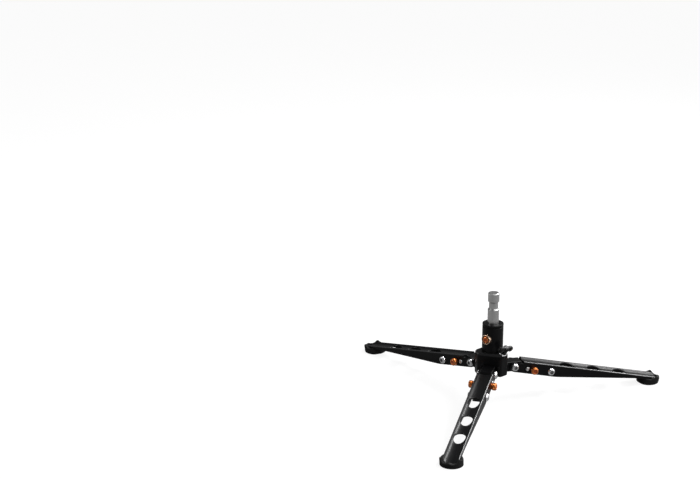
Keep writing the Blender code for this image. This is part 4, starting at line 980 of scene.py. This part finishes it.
wire, flow, ends = finish_on("spring_wire", metallic=1.0)
haze = noise(flow, 700.0, 4.0, 0.6)
drawn = between(flow, haze, (0.34, 0.34, 0.35), (0.52, 0.52, 0.52))
dress(flow, ends, drawn, 0.24 + haze * 0.16, embossed(flow, noise(flow, 6000.0), 0.000006, 0.4))


def coil_rings(radius, thickness, low, high, curls):
    """A round wire carried along a helix, each ring square to the helix's own direction."""
    turns = np.linspace(0, 2 * np.pi * curls, 28 * curls + 1)
    rise = (high - low - 2 * thickness) / (2 * np.pi * curls)
    height = low + thickness + rise * turns
    path = np.stack([radius * np.cos(turns), radius * np.sin(turns), height], -1)
    outward = np.stack([np.cos(turns), np.sin(turns), 0 * turns], -1)
    ahead = np.stack([-radius * np.sin(turns), radius * np.cos(turns), rise + 0 * turns], -1)
    ahead /= np.linalg.norm(ahead, axis=1)[:, None]
    upward = np.cross(ahead, outward)
    around = np.linspace(0, 2 * np.pi, 12, endpoint=False)
    ring = outward[:, None] * np.cos(around)[:, None] + upward[:, None] * np.sin(around)[:, None]
    return path[:, None] + thickness * ring


for leg, azimuth in LEGS.items():
    name, node = f"slider_coil_{leg}", f"slider_spring_{leg}"
    place = leg_place(azimuth) @ turned_by("Y", 90)
    coil_mesh = skin(name, placed(coil_rings(*SLIDER_COIL), place))
    coil = add_piece(name, coil_mesh, wire, f"leg_{leg}", [node])
    fixed_end = placed((0.0, 0.0, SLIDER_COIL[3]), place)
    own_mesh(coil)
for name, node, values, keep in (
    ("button_coil", "button_spring", BUTTON_COIL, 0.22),
    ("pin_coil", "lock_pin_spring", PIN_COIL, 0.62),
):
    coil_mesh = skin(name, placed(coil_rings(*values), button))
    coil = add_piece(name, coil_mesh, wire, "column", [node])
    fixed_end = placed((0.0, 0.0, values[2]), button)
    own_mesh(coil)


# The feet: moulded rubber cups screwed up into the leg's tip. The leg lies in a round-ended recess
# that is open toward the hub, and the underside is flat on the floor.
CUP_RADIUS = 0.0159
CUP_TOP = 0.0113
CUP_BOTTOM = -0.0060
CUP_EDGE = 0.0003
RIM_LOW = 0.0070
RECESS_HALF_WIDTH = 0.0121
RECESS_FLOOR = 0.0049

rubber, flow, ends = finish_on("moulded_rubber", specular=0.12)
dust = noise(flow, 90.0, 5.0, 0.65)
black = between(flow, dust, (0.0075, 0.0075, 0.0078), (0.0175, 0.0172, 0.0168))
slope = embossed(flow, noise(flow, 1500.0, 4.0, 0.6), 0.00005, 0.5)
dress(flow, ends, black, 0.50 + dust * 0.22, slope)


def rim_height(turns):
    """The cup's rim: low under the leg, with a lip at its end and an ear 62 degrees to each side."""
    off = np.abs(np.degrees((turns + np.pi) % (2 * np.pi) - np.pi))
    raised = eased((100 - off) / 16)
    ear = 0.0036 * np.exp(-(((off - 62) / 15) ** 2))
    lip = 0.0018 * np.exp(-((off / 15) ** 2))
    return RIM_LOW + raised * (0.0019 + ear + lip)


def foot_rings(around=192):
    """A cup about the foot's own axis, with every point that would be under the floor slid up to it."""
    rings = turned(softened([
        (0.0010, CUP_TOP, 0.0),
        (CUP_RADIUS, CUP_TOP, 0.0010),
        (CUP_RADIUS - 0.0001, -0.0022, 0.0030),
        (0.0138, CUP_BOTTOM, 0.0),
        (0.0010, CUP_BOTTOM, 0.0),
    ], closed=False, steps=12), around)
    turns = np.linspace(0, 2 * np.pi, around, endpoint=False)
    rings[..., 2] += np.where(rings[..., 2] > 0.0100, rim_height(turns) - CUP_TOP, 0.0)
    rings[..., 0] += FOOT_ALONG
    slope = math.radians(LEG_SLOPE)
    floor = (rings[..., 0] * math.sin(slope) - PIVOT_HEIGHT) / math.cos(slope)
    rings[..., 2] = np.maximum(rings[..., 2], floor)
    return rings


def recess_outline():
    """The recess in plan: straight sides out from the hub's side, and a half circle about the screw."""
    turns = np.radians(np.linspace(-90, 90, 33))[1:-1]
    end = [FOOT_ALONG + RECESS_HALF_WIDTH * np.cos(turns), RECESS_HALF_WIDTH * np.sin(turns)]
    right = [(TAPER_END, -RECESS_HALF_WIDTH), (FOOT_ALONG, -RECESS_HALF_WIDTH)]
    left = [(FOOT_ALONG, RECESS_HALF_WIDTH), (TAPER_END, RECESS_HALF_WIDTH)]
    return np.concatenate([right, np.column_stack(end), left])


recess = skin("recess", prism(recess_outline(), RECESS_FLOOR, BEYOND, "up"))
cup = cut_by(skin("cup", foot_rings()), [recess], "DIFFERENCE")
for leg, azimuth in LEGS.items():
    cup_mesh = copy_at(cup, points_of(cup), leg_place(azimuth))
    body, node = f"leg_{leg}", f"foot_{leg}"
    add_piece(f"cup_foot_{leg}", cup_mesh, rubber, body, [node], CUP_EDGE)


# The lock sliders: phosphated steel shoes inside the legs, which carry the pull knobs and press on
# the round ends of the arms. Each is the CAD's own piece, with its tail ended short of the first hole.
SHOE_END = 0.0619

phosphated, flow, ends = finish_on("phosphated_steel", metallic=1.0)
haze = noise(flow, 420.0, 5.0, 0.65)
grey = between(flow, haze, (0.030, 0.030, 0.032), (0.065, 0.065, 0.068))
slope = embossed(flow, noise(flow, 3800.0, 3.0), 0.000020, 0.5)
dress(flow, ends, grey, 0.42 + haze * 0.20, slope)


def merged(mesh):
    """A copy of a CAD piece's loose triangles, joined where their corners meet."""
    joined = bmesh.new()
    joined.from_mesh(mesh)
    bmesh.ops.remove_doubles(joined, verts=joined.verts, dist=1e-7)
    made = bpy.data.meshes.new(mesh.name)
    joined.to_mesh(made)
    joined.free()
    return made


tail = np.array([(SHOE_END, -0.02), (0.10, -0.02), (0.10, 0.02), (SHOE_END, 0.02)])
for leg, azimuth in LEGS.items():
    tail_box = skin("tail", placed(prism(tail, -0.02, 0.02, "up"), leg_place(azimuth)))
    shoe = cut_by(merged(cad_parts[f"lock_slider_{leg}"].data), [tail_box], "DIFFERENCE")
    add_piece(f"lock_shoe_{leg}", shoe, phosphated, f"lock_{leg}", [f"lock_slider_{leg}"])


# What stays as the CAD made it: the lock pin, the clamp's stud, the small screws, the cap and the
# washers. They are plain turned pieces, and get their plating or nylon here.
nylon, flow, ends = finish_on("black_nylon", specular=0.4)
cloud = noise(flow, 300.0, 4.0, 0.6)
black = between(flow, cloud, (0.010, 0.010, 0.010), (0.022, 0.022, 0.022))
dress(flow, ends, black, 0.40 + cloud * 0.2, embossed(flow, noise(flow, 2500.0), 0.00002, 0.4))

kept = dict.fromkeys(["lock_pin", "cap_screw", "column_cap", "clamp_stud"], plated)
for leg in LEGS:
    kept[f"foot_screw_{leg}"] = plated
    kept[f"pivot_washer_{leg}_a"] = kept[f"pivot_washer_{leg}_b"] = nylon
for node, material in kept.items():
    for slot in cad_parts[node].material_slots:
        slot.material = material


# The room: a wide pale floor and soft lamps above, behind and at both sides. The camera and the
# metal see white all round, while the light itself comes mostly from the back right.
FLOOR_REACH = 12.0
BRIGHT_SIDE = (0.78, 0.30, 0.55)
MIRROR_STRENGTH = 0.12


def seen_as(flow, camera, mirrors):
    """A strength for the camera's rays and another for reflected ones, and none for all others."""
    kinds = ("Camera", "Glossy", "Transmission")
    direct, glossy, through = [flow.node("ShaderNodeLightPath", out=f"Is {kind} Ray") for kind in kinds]
    return direct * camera + (glossy + through) * mirrors


corners = FLOOR_REACH * np.array([(-1, -1, 0), (1, -1, 0), (1, 1, 0), (-1, 1, 0)])
floor_mesh = bpy.data.meshes.new("floor")
floor_mesh.from_pydata(corners.tolist(), [], [(0, 1, 2, 3)])
floor = put_in_scene("floor", floor_mesh)
paper, flow, ends = finish_on("floor_paper", specular=0.0)
ends["Base Color"].default_value = (0.18, 0.18, 0.18, 1.0)
ends["Roughness"].default_value = 1.0
ends["Emission Strength"].default_value = 1.0
connect(flow, ends["Emission Color"], seen_as(flow, 0.86, 0.09))
floor_mesh.materials.append(paper)

world = bpy.data.worlds.new("studio")
bpy.context.scene.world = world
world.use_nodes = True
flow = Flow(world.node_tree)
vectors = {0: flow.node("ShaderNodeTexCoord", out="Generated"), 1: BRIGHT_SIDE}
toward = flow.node("ShaderNodeVectorMath", {"operation": "DOT_PRODUCT"}, vectors, "Value")
spread = {"Value": toward, "From Min": 0.40, "From Max": 1.0, "To Min": 0.05, "To Max": 1.8}
room = flow.node("ShaderNodeMapRange", {"interpolation_type": "SMOOTHSTEP"}, spread)
backdrop = world.node_tree.nodes["Background"].inputs
backdrop["Color"].default_value = (1.0, 1.0, 1.0, 1.0)
seen = seen_as(flow, 1.0, MIRROR_STRENGTH)
connect(flow, backdrop["Strength"], room * (1.0 - seen) + seen)


def soft_light(name, place, wide, high, power, roll=0.0):
    """An oval or long lamp that faces the stand, turned about its own axis by a number of degrees."""
    lamp = bpy.data.lights.new(name, "AREA")
    lamp.shape = "ELLIPSE"
    lamp.size = wide
    lamp.size_y = high
    lamp.energy = power
    item = put_in_scene(name, lamp)
    item.location = place
    facing = Vector(place).to_track_quat("Z", "Y") @ Quaternion((0.0, 0.0, 1.0), math.radians(roll))
    item.rotation_euler = facing.to_euler()


soft_light("overhead", (0.50, 1.12, 1.08), 0.9, 0.9, 8.0)
soft_light("strip", (0.70, 0.90, 1.20), 0.14, 1.2, 13.0, 46.0)
soft_light("top", (-0.15, 0.20, 1.60), 0.4, 0.4, 5.0)
soft_light("side", (-1.50, -0.60, 0.85), 0.7, 0.7, 6.0)
soft_light("fill", (1.10, -0.95, 1.00), 0.7, 0.7, 6.0)


# The camera stands where the photograph was taken from.
camera = put_in_scene("camera", bpy.data.cameras.new("camera"))
camera.location = (0.4592, AXIS_Y - 2.1979, 0.9472)
camera.rotation_euler = (math.radians(72.314), 0.0, math.radians(16.955))
camera.data.sensor_width = 36.0
camera.data.lens = 86.97
camera.data.clip_start = 0.05
camera.data.clip_end = 60.0
bpy.context.scene.camera = camera
